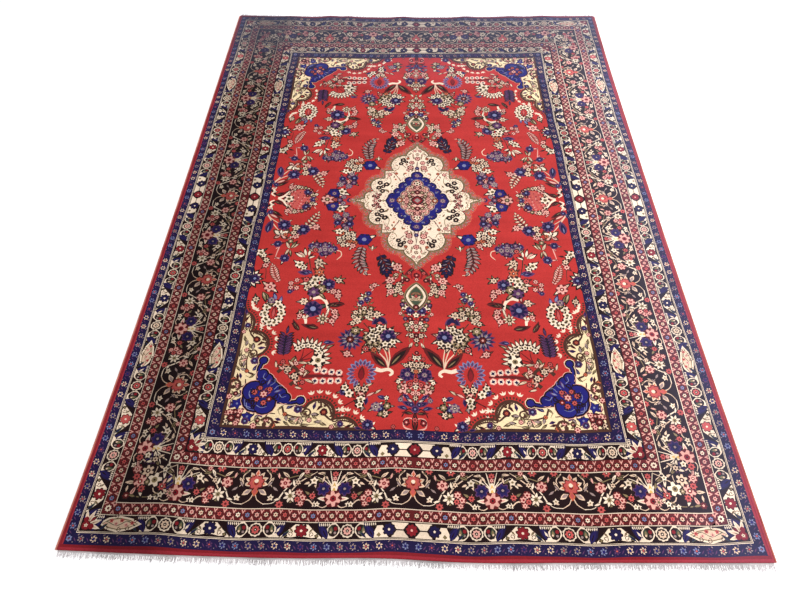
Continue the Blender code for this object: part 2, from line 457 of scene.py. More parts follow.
# Painted sheen, a bluish veil in the base colour where the photo's pile shows sheen: right and far borders
SHEEN = (
    Shading("X", start=0.80, end=1.10, first=0.0, last=0.09),
    Shading("Y", start=0.90, end=1.50, first=0.0, last=0.11),
)


def ranged(tree, value, *ends):
    """A value taken from one range to another: its low and high, then the new ones."""
    return add_node(tree, "ShaderNodeMapRange", value, *ends).outputs["Result"]


def mixed(tree, factor, under, over, blend_type="MIX"):
    """One colour over another; a Mix node keeps its two colours in its seventh and eighth."""
    feeds = (factor, *[None] * 5, under, over)
    node = add_node(tree, "ShaderNodeMix", *feeds, data_type="RGBA", blend_type=blend_type)
    return node.outputs[2]


def painted_light_group():
    """Painted shade and painted sheen for the whole cloth, from the place on it."""
    gives = (("Shade", "Float"), ("Bleach", "Float"))
    group, given, end = new_group(
        "Painted light and shade", "ShaderNodeTree", (("Vector", "Vector"),), gives
    )
    place = add_node(group, "ShaderNodeSeparateXYZ", given["Vector"]).outputs
    shade, painted_sheen = (
        [ranged(group, place[axis], *ends) for axis, *ends in rows] for rows in (PAINTED_SHADE_ROWS, SHEEN)
    )
    product = shade[0]
    for factor in shade[1:]:
        product = calculated(group, "MULTIPLY", product, factor)
    fed(group, end, Shade=product, Bleach=calculated(group, "MAXIMUM", *painted_sheen))
    return group


PAINTED_LIGHT = painted_light_group()


def wool_pile(name, dust):
    """Cut wool: the knotted dye, changed by dye lots, by single knots and by dusty wear, and painted shade
    and sheen.
    """
    material, tree, shader = new_material(name)
    dye = add_node(tree, "ShaderNodeAttribute", attribute_name="dye").outputs["Color"]
    place = add_node(tree, "ShaderNodeUVMap", uv_map="pattern").outputs["UV"]
    abrash, knots, painted_light_node = (
        add_node(tree, "ShaderNodeGroup", node_tree=group, Vector=place)
        for group in (ABRASH, KNOTS, PAINTED_LIGHT)
    )
    fed(tree, knots, Pitch=KNOT / 1000)
    lot = abrash.outputs["Shade"]
    lots = ranged(tree, lot, 0.3, 0.7, 0.76, 1.14)
    single = ranged(tree, knots.outputs["Tint"], 0.0, 1.0, 0.84, 1.14)
    both = calculated(tree, "MULTIPLY", lots, single)
    # painted shade: the borders made darker or lighter in the base colour, by their place
    painted_shading = calculated(tree, "MULTIPLY", both, painted_light_node.outputs["Shade"])
    shade = mixed(tree, 1.0, dye, painted_shading, "MULTIPLY")
    worn = ranged(tree, lot, 0.45, 0.75, 0.0, dust)
    dusty = mixed(tree, worn, shade, (0.42, 0.33, 0.34, 1))
    # painted sheen: a bluish veil mixed into the base colour towards the right and far borders
    pale = mixed(tree, painted_light_node.outputs["Bleach"], dusty, (0.36, 0.38, 0.56, 1))
    fed(
        tree, shader, Base_Color=pale, Roughness=0.62, Specular_IOR_Level=0.05,
        Sheen_Weight=0.02, Sheen_Roughness=0.42, Sheen_Tint=(0.80, 0.84, 1.0, 1),
        Normal=bumped(tree, knots.outputs["Height"], 0.5, 0.0008),
    )
    return material


pile = wool_pile("wool pile", dust=0.008)
EDGE_ROWS = (0.0, 1.2, 3.0, 6.0)            # where each row begins, in from the rug's sides
END_SHARE = 1.6                             # the same rows are this much deeper at the ends
rows = []
for a, b in zip(EDGE_ROWS, EDGE_ROWS[1:]):
    outer, inner = ((HALF_WIDTH - d, HALF_LENGTH - END_SHARE * d) for d in (a, b))
    rows += band("edge", outer, inner)
rows += band("crimson", inner, at_depth(11.0))
red_edge = inlay("red_edge", rows, [], pile, seed=1)

# ---------------------------------------------------------------- outer guard
# A navy stripe with a row of rings of small strokes and slanting dashes, closed on its inner
# side by ivory and dark lines. Along the rug's sides its first rows are still red. It is
# knotted in the same wool pile.
GUARD_DYES = ("sky", "grey", "cream", "purple", "sky", "grey", "cream")
SHARES = {1: (1.0,), 2: (1.0, 0.34), 3: (1.0, 0.42, 0.18), 4: (1.0, 0.84, 0.44, 0.20)}


def ring(radius, petals=0, dip=0.3, sides=8, wide=1.0, tall=1.0):
    """A closed outline round (0, 0), either plain or with petals that dip between."""
    reach = radius * (np.tile((1, 1, 1 - dip), petals) if petals else np.ones(sides))
    turn = 2 * math.pi * np.arange(len(reach)) / len(reach)
    return np.column_stack((wide * reach * np.sin(turn), tall * reach * np.cos(turn)))


def star(radius, points, dip):
    """A closed outline of plain points, for what is only a few knots wide."""
    reach = radius * np.tile((1, 1 - dip), points)
    turn = math.pi * np.arange(2 * points) / points
    return np.column_stack((reach * np.sin(turn), reach * np.cos(turn)))


def flower(radius, petals, dyes, dip=0.3):
    """Petalled rings one inside another, their dyes from the outline in to the eye."""
    shapes = []
    for share, dye in zip(SHARES[len(dyes)], dyes):
        size = radius * share
        if share < 0.6:
            shape = ring(size, sides=4 if size < 4 else 5 if size < 9 else 7)
        else:
            shape = star(size, petals, dip) if size < 19 else ring(size, petals, dip)
        shapes.append((dye, shape))
    return shapes


def placed(motif, x=0.0, y=0.0, turn=0.0, size=1.0, flip=False):
    """A motif sized, flipped over, turned anticlockwise in degrees and set at a place."""
    c, s = math.cos(math.radians(turn)), math.sin(math.radians(turn))
    matrix = size * np.array(((c, s), (-s, c)))
    if flip:
        matrix = np.diag((-1, 1)) @ matrix
    return [(dye, np.asarray(outline) @ matrix + (x, y)) for dye, outline in motif]


def mirrored(motif, across=True, along=False):
    """The motif with its mirror image in the upright line, the level line or in both."""
    flips = [(1, 1)]
    if across:
        flips += [(-1, 1)]
    if along:
        flips += [(x, -y) for x, y in flips]
    return [(dye, outline * flip) for flip in flips for dye, outline in motif]


def along(length, pitch, cell):
    """Fills a half strip with whole cells; cell(number, step) gives each one's shapes."""
    count = max(1, round(length / pitch))
    step = length / count
    shapes = []
    for number in range(count):
        shapes += placed(cell(number, step), (number + 0.5) * step)
    return shapes


def around(end_strip, side_strip, corner, depth):
    """Lays strips on the rug's four sides, mirrored, and a motif in each corner.

    A strip is level, with the middle of its side at x = 0, and runs inwards from y = 0.
    """
    reach_x, reach_y = at_depth(depth)
    ends = [(dye, outline - (0, reach_y)) for dye, outline in end_strip]
    sides = [(dye, outline[::-1, ::-1] - (reach_x, 0)) for dye, outline in side_strip]
    corners = [(dye, outline - (reach_x, reach_y)) for dye, outline in corner]
    shapes = mirrored(ends, across=False, along=True) + mirrored(sides)
    return shapes + mirrored(corners, along=True)


def leaf(length, width, dyes, bend=0.0):
    """A pointed leaf standing on (0, 0), bent sideways; its dyes run from edge to vein."""
    half = np.array(((0.0, 0.0), (0.36, 0.20), (0.50, 0.46), (0.33, 0.76), (0.0, 1.0)))
    if length < 40:
        half = half[[0, 2, 3, 4] if length > 28 else [0, 2, 4]]
        dyes = dyes[:2]
    shapes = []
    for share, dye in zip((1.0, 0.62, 0.16), dyes):
        right = half * (width * share, length * (0.3 + 0.7 * share))
        right[:, 1] += length * 0.35 * (1 - share) * 0.4
        outline = np.vstack((right, right[-2:0:-1] * (-1, 1)))
        outline[:, 0] += bend * width * (outline[:, 1] / length) ** 2
        shapes.append((dye, outline))
    return shapes


def guard_cell(number, step, width):
    """Six small strokes round a red or a blue heart, a leaning dash and four specks."""
    dye = GUARD_DYES[(number * 3) % len(GUARD_DYES)]
    shapes = []
    for turn in range(0, 360, 60):
        at = math.radians(turn)
        x, y = -0.21 * width * math.sin(at), width * (0.5 + 0.21 * math.cos(at))
        shapes += placed([(dye, ring(3.0, sides=4, tall=1.7))], x, y, turn + 35)
    shapes += placed([("rose" if number % 2 else "blue", ring(3.6, sides=5))], y=width / 2)
    shapes += placed(leaf(width * 0.5, 4.0, ("purple",)), step / 2 - 8, width * 0.24, -38)
    for x, y in ((-10.0, 0.12), (10.0, 0.88), (step / 2 + 4, 0.2), (step / 2 - 10, 0.82)):
        shapes += placed([("grey" if x > 0 else "purple", ring(2.2, sides=4))], x, width * y)
    return shapes


def guard(depth, width):
    """All the shapes of a navy guard stripe whose outer side is at a depth."""
    strips = []
    for reach in at_depth(depth):
        length = reach - width
        half = along(length, 46.0, lambda k, step: guard_cell(k, step, width))
        strips.append(mirrored(half))
    corner = placed(flower(width * 0.3, 6, ("sky", "navy", "rose")), width / 2, width / 2)
    return around(*strips, corner, depth)


def lines(start, *rows):
    """Narrow bands side by side from a depth inwards; each row is (dye, width)."""
    shapes = []
    for dye, width in rows:
        shapes += band(dye, at_depth(start), at_depth(start + width))
        start += width
    return shapes


grounds = lines(11.0, ("navy", 39.0), ("ivory", 2.0), ("dark", 2.5), ("ivory", 1.5))
outer = at_depth(11.0)
side_red = band("edge", outer, (outer[0] - 5.0, outer[1]))[2:]
outer_guard = inlay("outer_guard", grounds, side_red + guard(11.0, 39.0), pile, seed=2)

# ---------------------------------------------------------------- outer minor border
# Near-black pile with ringed rosettes between dark pods, rosettes on ivory panels and ivory
# leaves with a spray, in turn, and blue leaves with ivory teeth standing between them.
# Each kind of flower: its petals, how deep they dip, and the dyes of its bed and its rings
PETALS = {
    "navy": (9, 0.42, ("purple", "navy", "sky")),
    "blue": (8, 0.38, ("navy", "blue", "sky")),
    "ivory": (5, 0.44, ("dark", "ivory", "olive", "dark")),
    "cream": (6, 0.44, ("dark", "cream", "brown", "ivory")),
    "pink": (6, 0.42, ("maroon", "pink", "crimson", "ivory")),
    "rose": (7, 0.38, ("dark", "rose", "maroon", "ivory")),
    "crimson": (7, 0.38, ("dark", "crimson", "pink", "maroon")),
    "maroon": (7, 0.36, ("dark", "maroon", "pink")),
    "purple": (6, 0.42, ("dark", "purple", "grey")),
    "lilac": (6, 0.42, ("purple", "grey", "navy", "ivory")),
    "sky": (6, 0.42, ("navy", "sky", "navy", "ivory")),
    "olive": (6, 0.42, ("dark", "olive", "cream", "dark")),
    "orange": (6, 0.42, ("brown", "orange", "maroon", "ivory")),
}


def bloom(kind, radius):
    """A flower of one of the dyes, with a dark bed that shows between its petals."""
    petals, dip, (edge, *dyes) = PETALS[kind]
    if radius < 9:
        return flower(radius, 5, dyes[:2], dip)
    dyes = dyes[:3] if radius > 16 else dyes[:2]
    bed = placed([(edge, ring(radius * 1.18, sides=min(petals, 6)))], turn=180 / petals)
    return bed + flower(radius, petals, dyes, dip)


def smooth(knots, steps=3):
    """A soft line through a few points."""
    knots = np.asarray(knots, float)
    held = np.vstack((2 * knots[0] - knots[1], knots, 2 * knots[-1] - knots[-2]))
    path = []
    for a, b, c, d in zip(held, held[1:], held[2:], held[3:]):
        for t in np.linspace(0, 1, steps, endpoint=False):
            cubic = (3 * b - a - 3 * c + d) * t**3 + (2 * a - 5 * b + 4 * c - d) * t**2
            path.append((2 * b + (c - a) * t + cubic) / 2)
    return np.array([*path, knots[-1]])


def stem(path, width, dye, tip=0.5):
    """A stalk along a line of points, thinning to its tip."""
    path = np.asarray(path, float)
    step = np.gradient(path, axis=0)
    across = np.column_stack((-step[:, 1], step[:, 0]))
    across /= np.hypot(step[:, 0], step[:, 1])[:, None]
    half = width / 2 * np.linspace(1, tip, len(path))[:, None] * across
    return [(dye, np.vstack((path + half, (path - half)[::-1])))]


def curl(radius, width, dye):
    """A stalk that rises from (0, 0) and winds to the right into a round head."""
    swing = np.linspace(0, 2 * math.pi * 0.9, 12)
    reach = radius * (1 - 0.6 * swing / swing[-1])
    path = np.column_stack((radius - reach * np.cos(swing), reach * np.sin(swing)))
    head = placed([(dye, ring(width * 0.9, sides=7))], *path[-1])
    return stem(path, width, dye, 0.8) + head


def fan(count, spread, length, width, dyes, bend=0.0):
    """Leaves that open like a fan from (0, 0), over a spread in degrees."""
    shapes = []
    for angle in np.linspace(-spread / 2, spread / 2, count):
        shapes += placed(leaf(length, width, dyes, bend * np.sign(angle)), turn=angle)
    return shapes


def panel(half, top, height):
    """An ivory panel on the outer line, half wide at its foot, with hollow sides."""
    right = ((half, 3), (half * 0.96, 7), (half * 0.5 + top * 0.5, height * 0.52), (top, height))
    right = np.array(right)
    return [("ivory", np.vstack((right, right[::-1] * (-1, 1))))]


def ring_panel(kind):
    """A ringed rosette between two dark pods edged with ivory, on two low ivory feet."""
    shapes = []
    for side in (-1, 1):
        pod = [("ivory", ring(27, 4, 0.12, wide=0.86)), ("dark", ring(22, sides=9, wide=0.84))]
        pod += placed(leaf(30, 15, ("green", "olive")), 4, -15, -14)
        seeds = (("grey", 5, 5, -8, -6), ("crimson", 7, 6, -6, 8), ("cream", 4, 5, 7, -8))
        for dye, size, sides, x, y in seeds:
            pod += placed([(dye, ring(size, sides=sides))], x, y)
        shapes += placed(panel(18, 8, 16), 66 * side) + placed(pod, 48 * side, 30, 14 * side, flip=side < 0)
        shapes += placed(leaf(24, 8, ("ivory",)), 72 * side, 18, -34 * side)
    rosette = [("dark", ring(27, sides=14)), ("ivory", ring(24, 10, 0.12)), ("dark", ring(19, sides=12))]
    return shapes + placed(rosette + flower(16, 8, (kind, "dark", "ivory")), 0, 29)


def rose_panel(kind):
    """An ivory panel round a large rosette, with green bits in its lower corners."""
    shapes = panel(72, 22, 50) + [("night", outline) for _, outline in panel(58, 14, 9)]
    for side in (-1, 1):
        shapes += placed([("dark", ring(9, sides=4)), ("olive", ring(5, sides=4))], 54 * side, 11, 20)
        shapes += placed(curl(9, 2.6, "brown"), 34 * side, 8, 70 * side, flip=side < 0)
        shapes += placed(leaf(26, 8, ("brown", "olive")), 26 * side, 20, -40 * side)
    return shapes + placed(flower(25, 8, ("dark", kind, kind, "ivory"), 0.24), 0, 29)


def spray_panel(kind):
    """An ivory leaf with little red flowers on one winding stalk."""
    shapes = []
    for dye, length, width, x in (("ivory", 150, 56, 72), ("olive", 128, 42, 62), ("cream", 120, 34, 58)):
        shapes += placed(leaf(length, width, (dye,)), x, 28, 90)
    shapes += stem(smooth(((-56, 22), (-24, 38), (8, 22), (48, 36))), 3.5, "green")
    for x, y, turn in ((-50, 34, 100), (-34, 22, -80), (-4, 18, -90), (16, 46, 80), (44, 22, -100)):
        shapes += placed(curl(9, 3.0, "brown"), x, y, turn)
    for index, (x, y) in enumerate(((-44, 32), (-24, 25), (-6, 40), (12, 28), (30, 38), (48, 24))):
        shapes += placed(bloom(kind if index % 2 else "rose", 8.5), x, y)
    return shapes


def comb_leaf(width, side):
    """A dark blue leaf leaning across the stripe, with ivory teeth on its inner side."""
    blade = leaf(width * 1.2, 28, ("navy", "indigo", "night"), 0.3 * side)
    shapes = placed(blade, -12 * side, 0, -24 * side)
    shapes += placed(leaf(width * 0.7, 12, ("green", "navy")), 12 * side, 2, -46 * side)
    for index in range(6):
        shapes += placed(leaf(12, 5, ("ivory",)), side * (16 - 7 * index), width - 13, -16 * side)
    return shapes


PANELS = (
    ring_panel("pink"), rose_panel("crimson"), ring_panel("rose"), rose_panel("navy"),
    ring_panel("cream"), spray_panel("pink"), ring_panel("rose"), rose_panel("rose"),
)
PANEL_STEP, CHART_WIDTH = 158, 57           # the panels' own repeat and stripe, millimetres
MIDDLE_REACH = 146                          # half of what the middle panels take up


def minor_border(depth, width, pitch):
    """All the shapes of a minor border from a depth inwards, with its own middle panels."""
    def cell(number, step):
        panel_here = PANELS[number % len(PANELS)]
        shapes = [(dye, outline * (step / PANEL_STEP, 1)) for dye, outline in panel_here]
        return shapes + placed(comb_leaf(width, (-1) ** number), step / 2)

    scale = width / CHART_WIDTH
    strips = []
    for reach in at_depth(depth):
        middle = placed(flower(24, 8, ("dark", "crimson", "crimson", "pink"), 0.22), 0, 29)
        for side in (-1, 1):
            middle += placed(panel(30, 12, 26) + placed(panel(30, 12, 26), 0, 56, 180), 42 * side)
            middle += placed(panel(30, 10, 44), 112 * side)
            middle += placed(flower(24, 8, ("dark", "navy", "navy", "ivory"), 0.22), 80 * side, 29)
            middle += placed([("olive", ring(8, sides=4))], 116 * side, 12)
            middle += placed(comb_leaf(width, side), MIDDLE_REACH * side)
        run = along(reach - width - MIDDLE_REACH * scale, pitch, cell)
        strips.append(mirrored(placed(run, MIDDLE_REACH * scale)) + placed(middle, size=scale))
    figure = placed(fan(5, 140, 50, 15, ("ivory", "cream", "brown"), 0.5), 24, 24, -45)
    figure += placed([("maroon", ring(17, sides=10)), ("crimson", ring(14, 5, 0.2))], 20, 20)
    for x, y in ((40, 16), (16, 40)):
        figure += placed([("crimson", ring(10, sides=7))], x, y)
    figure += placed(leaf(34, 13, ("dark", "crimson", "ivory")), 30, 30, -45)
    corner = placed(figure + placed(bloom("ivory", 8), 20, 20), size=scale)
    return around(*strips, corner, depth)


grounds = lines(56.0, ("night", 56.5), ("ivory", 2.5), ("dark", 2.0))
outer_minor = inlay("outer_minor_border", grounds, minor_border(56.0, 57.0, 152.0), pile, seed=3)

# ---------------------------------------------------------------- maroon guards
# Two deep red stripes, one on each side of the main border, with ringed flowers and pairs
# of small pink triangles whose points meet. They are knotted in the same wool pile.
RINGLETS = ("cream", "pink", "ivory", "rose", "cream", "sky", "pink")


def maroon_cell(number, step, width):
    """A ringed flower, then a pink and maroon tooth on each edge, point to point."""
    dye = RINGLETS[(number * 4) % len(RINGLETS)]
    ringlet = [("dark", ring(width * 0.28, sides=8)), (dye, star(width * 0.25, 6, 0.36))]
    shapes = placed(ringlet + [("crimson", ring(3.4, sides=5))], y=width / 2)
    tooth = np.array(((-7.5, 0), (7.5, 0), (0, width * 0.42)))
    for dye, size in (("pink", 1.0), ("maroon", 0.5)):
        small = tooth * size + (step / 2, 0)
        shapes += [(dye, small), (dye, (step, width) - small)]
    for side in (-1, 1):
        shapes += [("rose", ring(2.4, sides=4) + (side * step * 0.28, width * (0.5 + 0.34 * side)))]
    return shapes


def maroon_guard(name, depth, grounds, width, seed):
    strips = [
        mirrored(along(reach - width, 34.0, lambda k, step: maroon_cell(k, step, width)))
        for reach in at_depth(depth)
    ]
    corner = placed(flower(width * 0.34, 8, ("ivory", "dark", "rose")), width / 2, width / 2)
    return inlay(name, grounds, around(*strips, corner, depth), pile, seed)


grounds = lines(117.0, ("maroon", 39.0), ("ivory", 3.0), ("dark", 1.0))
outer_maroon = maroon_guard("outer_maroon_guard", 117.0, grounds, 38.0, seed=4)
grounds = lines(306.0, ("ivory", 3.0), ("dark", 2.0), ("maroon", 41.0))
inner_maroon = maroon_guard("inner_maroon_guard", 311.0, grounds, 38.0, seed=5)

# ---------------------------------------------------------------- main border
# A wide near-black border of palmettes and blue blooms in turn, joined by cream stalks
# with star flowers, daisies and lily leaves, and a bouquet of its own in each corner. It is
# one border of the cloth, cut as two meshes: the ends and the sides.
MAIN_DEPTH, MAIN_WIDTH, MAIN_CORNER = 160.0, 146.0, 202.0
MAIN_UNITS = (3, 5)                         # half repeats on half an end and half a side


def wreath(wide, tall, count, motif, start=0.0, sweep=360.0):
    """Copies of a motif round an oval, standing outwards, over a sweep in degrees."""
    shapes = []
    for number in range(count):
        turn = start + sweep * number / (count - (sweep < 360))
        at = math.radians(turn)
        shapes += placed(motif, -wide * math.sin(at), tall * math.cos(at), turn)
    return shapes


def palmette():
    """A red palmette with a pink crown on grey leaves, over two stalks that spread."""
    shapes = []
    for side in (-1, 1):
        shapes += placed(leaf(38, 20, ("cream", "grey", "sky"), 0.3 * side), 12 * side, 66, -112 * side)
        shapes += stem(smooth(((2 * side, 56), (14 * side, 30), (38 * side, 14))), 4, "cream")
        shapes += stem(smooth(((38 * side, 14), (70 * side, 16), (88 * side, 30))), 3, "ivory")
        shapes += placed(bloom("ivory", 13), 62 * side, 36)
        shapes += placed(leaf(18, 8, ("cream",)), 50 * side, 26, -60 * side)
    shapes += placed(fan(7, 200, 46, 21, ("cream", "orange", "rose")), 0, 92)
    shapes += placed(flower(31, 8, ("maroon", "rose", "orange", "ivory"), 0.2), 0, 94)
    shapes += placed(leaf(26, 18, ("pink", "orange")), 0, 116) + placed(ring_dot(9, "crimson"), 0, 92)
    shapes += placed(leaf(34, 24, ("orange", "rose", "cream")), 0, 76, 180)
    return shapes + placed(ring_dot(8, "ivory"), 0, 99)


def ring_dot(radius, dye):
    return [(dye, ring(radius, sides=8))]


def blue_bloom():
    """Two royal blue blooms beside an upright orange vase, over a pink rosette."""
    shapes = []
    for side in (-1, 1):
        for away, top in ((20, 142), (46, 136), (72, 120)):
            arm = smooth(((2 * side, 76), (away * 0.5 * side, 104), (away * side, top)))
            shapes += stem(arm, 4.5, "ivory")
        shapes += placed(leaf(36, 12, ("dark", "cream", "olive"), 0.4), 22 * side, 106, -40 * side)
        shapes += placed(flower(27, 7, ("purple", "indigo", "navy", "grey"), 0.3), 39 * side, 74, 20 * side)
        shapes += placed(leaf(44, 16, ("ivory", "pink", "rose"), 0.4 * side), 14 * side, 32, -72 * side)
        low = smooth(((8 * side, 22), (34 * side, 6), (62 * side, 18)))
        shapes += stem(low, 4.5, "cream") + placed(bloom("ivory", 12), 66 * side, 18)
    shapes += placed(leaf(58, 25, ("ivory", "yellow", "orange")), 0, 52)
    shapes += placed(leaf(30, 20, ("ivory", "yellow")), 0, 56)
    shapes += placed(bloom("pink", 29), 0, 38) + placed(flower(13, 6, ("crimson", "dark")), 0, 38)
    return shapes + placed(bloom("rose", 13), 0, 128) + placed(bloom("pink", 9), 0, 112)


# The flowers and leaves between a palmette and the blue blooms: x runs from one to the other
Sprig = collections.namedtuple("Sprig", "form dye x y turn size")
SPRAY = (
    ("lily", "olive", 196, 116, 70, 56), ("lily", "ivory", 204, 116, 160, 50),
    ("lily", "cream", 200, 116, 206, 52), ("lily", "olive", 206, 114, 250, 40),
    ("lily", "ivory", 150, 110, -30, 40), ("lily", "cream", 118, 112, 60, 44),
    ("lily", "ivory", 140, 76, 20, 38), ("lily", "cream", 170, 88, -60, 36),
    ("lily", "olive", 176, 66, -120, 38), ("lily", "pink", 150, 14, -74, 32),
    ("lily", "olive", 186, 30, 70, 32), ("lily", "pink", 82, 104, 20, 32),
    ("lily", "cream", 236, 96, -10, 34), ("lily", "ivory", 98, 34, 110, 34),
    ("lily", "olive", 34, 134, -96, 40), ("lily", "cream", 62, 112, 150, 42),
    ("lily", "grey", 84, 60, 60, 34), ("lily", "olive", 120, 18, -60, 32),
    ("lily", "grey", 44, 76, -30, 30), ("lily", "cream", 246, 134, 100, 40),
    ("bloom", "rose", 56, 142, 0, 15), ("bloom", "rose", 134, 142, 0, 17),
    ("bloom", "pink", 104, 90, 20, 19), ("bloom", "crimson", 104, 90, 0, 8),
    ("star", "ivory", 128, 44, 10, 32), ("bloom", "pink", 158, 58, 0, 14),
    ("bloom", "pink", 172, 40, 0, 14), ("bloom", "rose", 154, 34, 0, 12),
    ("bloom", "pink", 168, 20, 0, 11), ("bloom", "rose", 94, 12, 0, 15), ("lily", "pink", 206, 30, 0, 44),
    ("bloom", "rose", 206, 48, 0, 13), ("bloom", "ivory", 226, 18, 0, 11),
    ("bloom", "ivory", 206, 104, 0, 16), ("bloom", "cream", 150, 96, 0, 11),
    ("bloom", "pink", 176, 138, 0, 10),
)


def sprigs(table):
    """The shapes of a table of sprigs, the last on top."""
    shapes = []
    for row in map(Sprig._make, table):
        if row.form == "lily":
            shape = leaf(row.size, row.size * 0.4, ("dark", row.dye, "dark"), 0.3)
        elif row.form == "star":
            shape = wreath(0, 0, 7, leaf(row.size, row.size * 0.5, ("dark", row.dye)))
            shape += flower(row.size * 0.3, 6, ("olive", "dark"))
        else:
            shape = bloom(row.dye, row.size)
        shapes += placed(shape, row.x, row.y, row.turn)
    return shapes


def spray(step):
    """The flowers from a palmette to the next blue blooms, step away."""
    shapes = stem(smooth(((88, 30), (104, 60), (128, 92), (166, 122), (176, 146))), 5, "ivory")
    shapes += stem(smooth(((128, 60), (150, 92), (186, 120), (214, 138))), 4.5, "cream")
    shapes += stem(smooth(((214, 16), (190, 34), (160, 26), (128, 44))), 4.5, "cream")
    shapes += stem(smooth(((70, 124), (96, 106), (140, 118), (196, 132))), 4.5, "olive")
    shapes += stem(smooth(((30, 140), (50, 116), (46, 92), (70, 66))), 4.0, "cream")
    shapes += stem(smooth(((228, 140), (240, 120), (232, 98))), 4.0, "olive")
    return [(dye, outline * (step / 280, 1)) for dye, outline in shapes + sprigs(SPRAY)]


def main_strip(reach, units):
    """Sprays, turned about in turn, with a palmette or two blue blooms between each two."""
    step = (reach - MAIN_CORNER) / units
    half, whole = [], palmette()
    for number in range(units):
        flip = number % 2
        half += placed(spray(step), (number + flip) * step, flip=flip)
        half += placed(palmette() if flip else blue_bloom(), (number + 1) * step)
    return mirrored(half) + whole


# A corner's bouquet, whose x and y run inwards from the border's outer corner
CORNER = (
    ("lily", "ivory", 64, 92, -6, 58), ("lily", "cream", 68, 86, 40, 52),
    ("lily", "ivory", 50, 80, -58, 52), ("lily", "cream", 44, 74, 100, 50),
    ("lily", "pink", 50, 58, 164, 52), ("lily", "ivory", 62, 58, -150, 52),
    ("bloom", "ivory", 112, 82, 0, 27), ("bloom", "cream", 78, 116, 20, 22),
    ("bloom", "pink", 60, 76, 10, 23), ("bloom", "rose", 42, 94, 0, 15), ("bloom", "rose", 72, 50, 0, 15),
    ("bloom", "olive", 86, 74, 0, 11), ("bloom", "maroon", 24, 24, 0, 15),
    ("lily", "olive", 30, 26, -96, 36), ("lily", "cream", 20, 34, 6, 34),
    ("lily", "ivory", 92, 160, 24, 44), ("lily", "cream", 92, 160, -52, 44),
    ("lily", "ivory", 90, 158, 112, 40), ("lily", "olive", 92, 156, -128, 40),
    ("bloom", "cream", 91, 160, 0, 13), ("lily", "ivory", 142, 122, -20, 40),
    ("lily", "cream", 142, 122, 68, 38), ("lily", "ivory", 140, 120, 196, 42),
    ("lily", "olive", 144, 120, -106, 40), ("bloom", "ivory", 142, 122, 0, 13),
    ("bloom", "rose", 146, 58, 0, 17), ("lily", "pink", 146, 62, -14, 36),
    ("lily", "cream", 150, 48, -110, 34), ("bloom", "ivory", 148, 28, 0, 13),
    ("bloom", "ivory", 114, 18, 0, 11), ("bloom", "pink", 36, 122, 0, 17),
    ("lily", "pink", 34, 130, 16, 40), ("bloom", "rose", 30, 166, 0, 15),
    ("bloom", "ivory", 58, 176, 0, 14), ("star", "pink", 182, 34, 0, 22),
    ("lily", "olive", 186, 76, 20, 38), ("lily", "cream", 176, 96, 150, 36),
)
corner = stem(smooth(((150, 30), (120, 40), (108, 90), (136, 116), (180, 140))), 4.5, "cream")
corner += stem(smooth(((30, 170), (60, 150), (86, 152), (110, 130), (98, 80))), 4.5, "cream")
corner += stem(smooth(((24, 24), (70, 20), (114, 22), (150, 46), (186, 76))), 4.5, "olive")
corner += sprigs(CORNER)

strips = [main_strip(reach, units) for reach, units in zip(at_depth(MAIN_DEPTH), MAIN_UNITS)]
grounds = lines(MAIN_DEPTH, ("night", MAIN_WIDTH))
motifs = around(*strips, corner, MAIN_DEPTH)
main_ends = inlay("main_border_ends", grounds[:2], motifs, pile, seed=6)
main_sides = inlay("main_border_sides", grounds[2:], motifs, pile, seed=6)

# ---------------------------------------------------------------- inner minor border
# The same panels again on the inner side of the main border, then ivory and dark lines.
# It is knotted in the same wool pile.
grounds = lines(352.0, ("night", 59.0), ("ivory", 2.2), ("dark", 2.8), ("ivory", 2.0))
inner_minor = inlay("inner_minor_border", grounds, minor_border(352.0, 60.0, 148.0), pile, seed=7)

# ---------------------------------------------------------------- inner guard
# The second navy stripe with rings of small strokes, next to the field. It is the same
# stripe again, a little wider, in the same wool pile.
grounds = lines(418.0, ("navy", 44.0), ("dark", 1.0))
inner_guard = inlay("inner_guard", grounds, guard(418.0, 44.0), pile, seed=8)

# ---------------------------------------------------------------- medallion
# The middle figure: a lobed ivory shape with a brown outline, black berries and pink
# flowers, and in it a royal blue band round a small diamond crowded with red and cream.
Knot = collections.namedtuple("Knot", "x y bulge")
MEDALLION = (
    Knot(-322, 0, -0.05), Knot(-272, -16, 0.34), Knot(-216, -62, 0.46), Knot(-177, -160, 0),
    Knot(-170, -164, 0), Knot(-170, -217, 0), Knot(-122, -217, 0.36), Knot(-61, -330, 0.12),
    Knot(-26, -380, -0.08), Knot(0, -420, 0),
)
BLUE_BAND = (
    Knot(-163, 0, 0.0), Knot(-150, -28, 0.35), Knot(-118, -46, 0.35), Knot(-94, -86, 0.35),
    Knot(-62, -128, 0.35), Knot(-26, -166, 0.30), Knot(0, -208, 0),
)
HEART = (
    Knot(-104, 0, 0.12), Knot(-84, -28, 0.25), Knot(-58, -66, 0.30), Knot(-30, -102, 0.2),
    Knot(0, -150, 0),
)
OUTLINE_WIDTH = 4.0                         # of the brown line round the medallion
LONGEST_STEP = 28.0                         # between points that follow the ripples


def arcs(knots, steps=7):
    """A line through knots; each span bulges to its right by a share of its length."""
    path = []
    for a, b in zip(knots, knots[1:]):
        start, chord = np.array((a.x, a.y)), np.array((b.x - a.x, b.y - a.y))
        right = np.array((chord[1], -chord[0]))
        half = max(2 * math.atan(2 * abs(a.bulge)), 1e-6)
        for turn in np.linspace(-half, half, steps if a.bulge else 1, endpoint=False):
            on = 0.5 + 0.5 * math.sin(turn) / math.sin(half)
            out = (math.cos(turn) - math.cos(half)) / (2 * math.sin(half))
            path.append(start + on * chord + math.copysign(out, a.bulge) * right)
    return np.array([*path, (knots[-1].x, knots[-1].y)])


def fourfold(quarter):
    """A closed outline from its lower left quarter, which runs from the left to the foot."""
    lower = np.vstack((quarter, quarter[-2::-1] * (-1, 1)))
    return np.vstack((lower, lower[-2:0:-1] * (1, -1)))


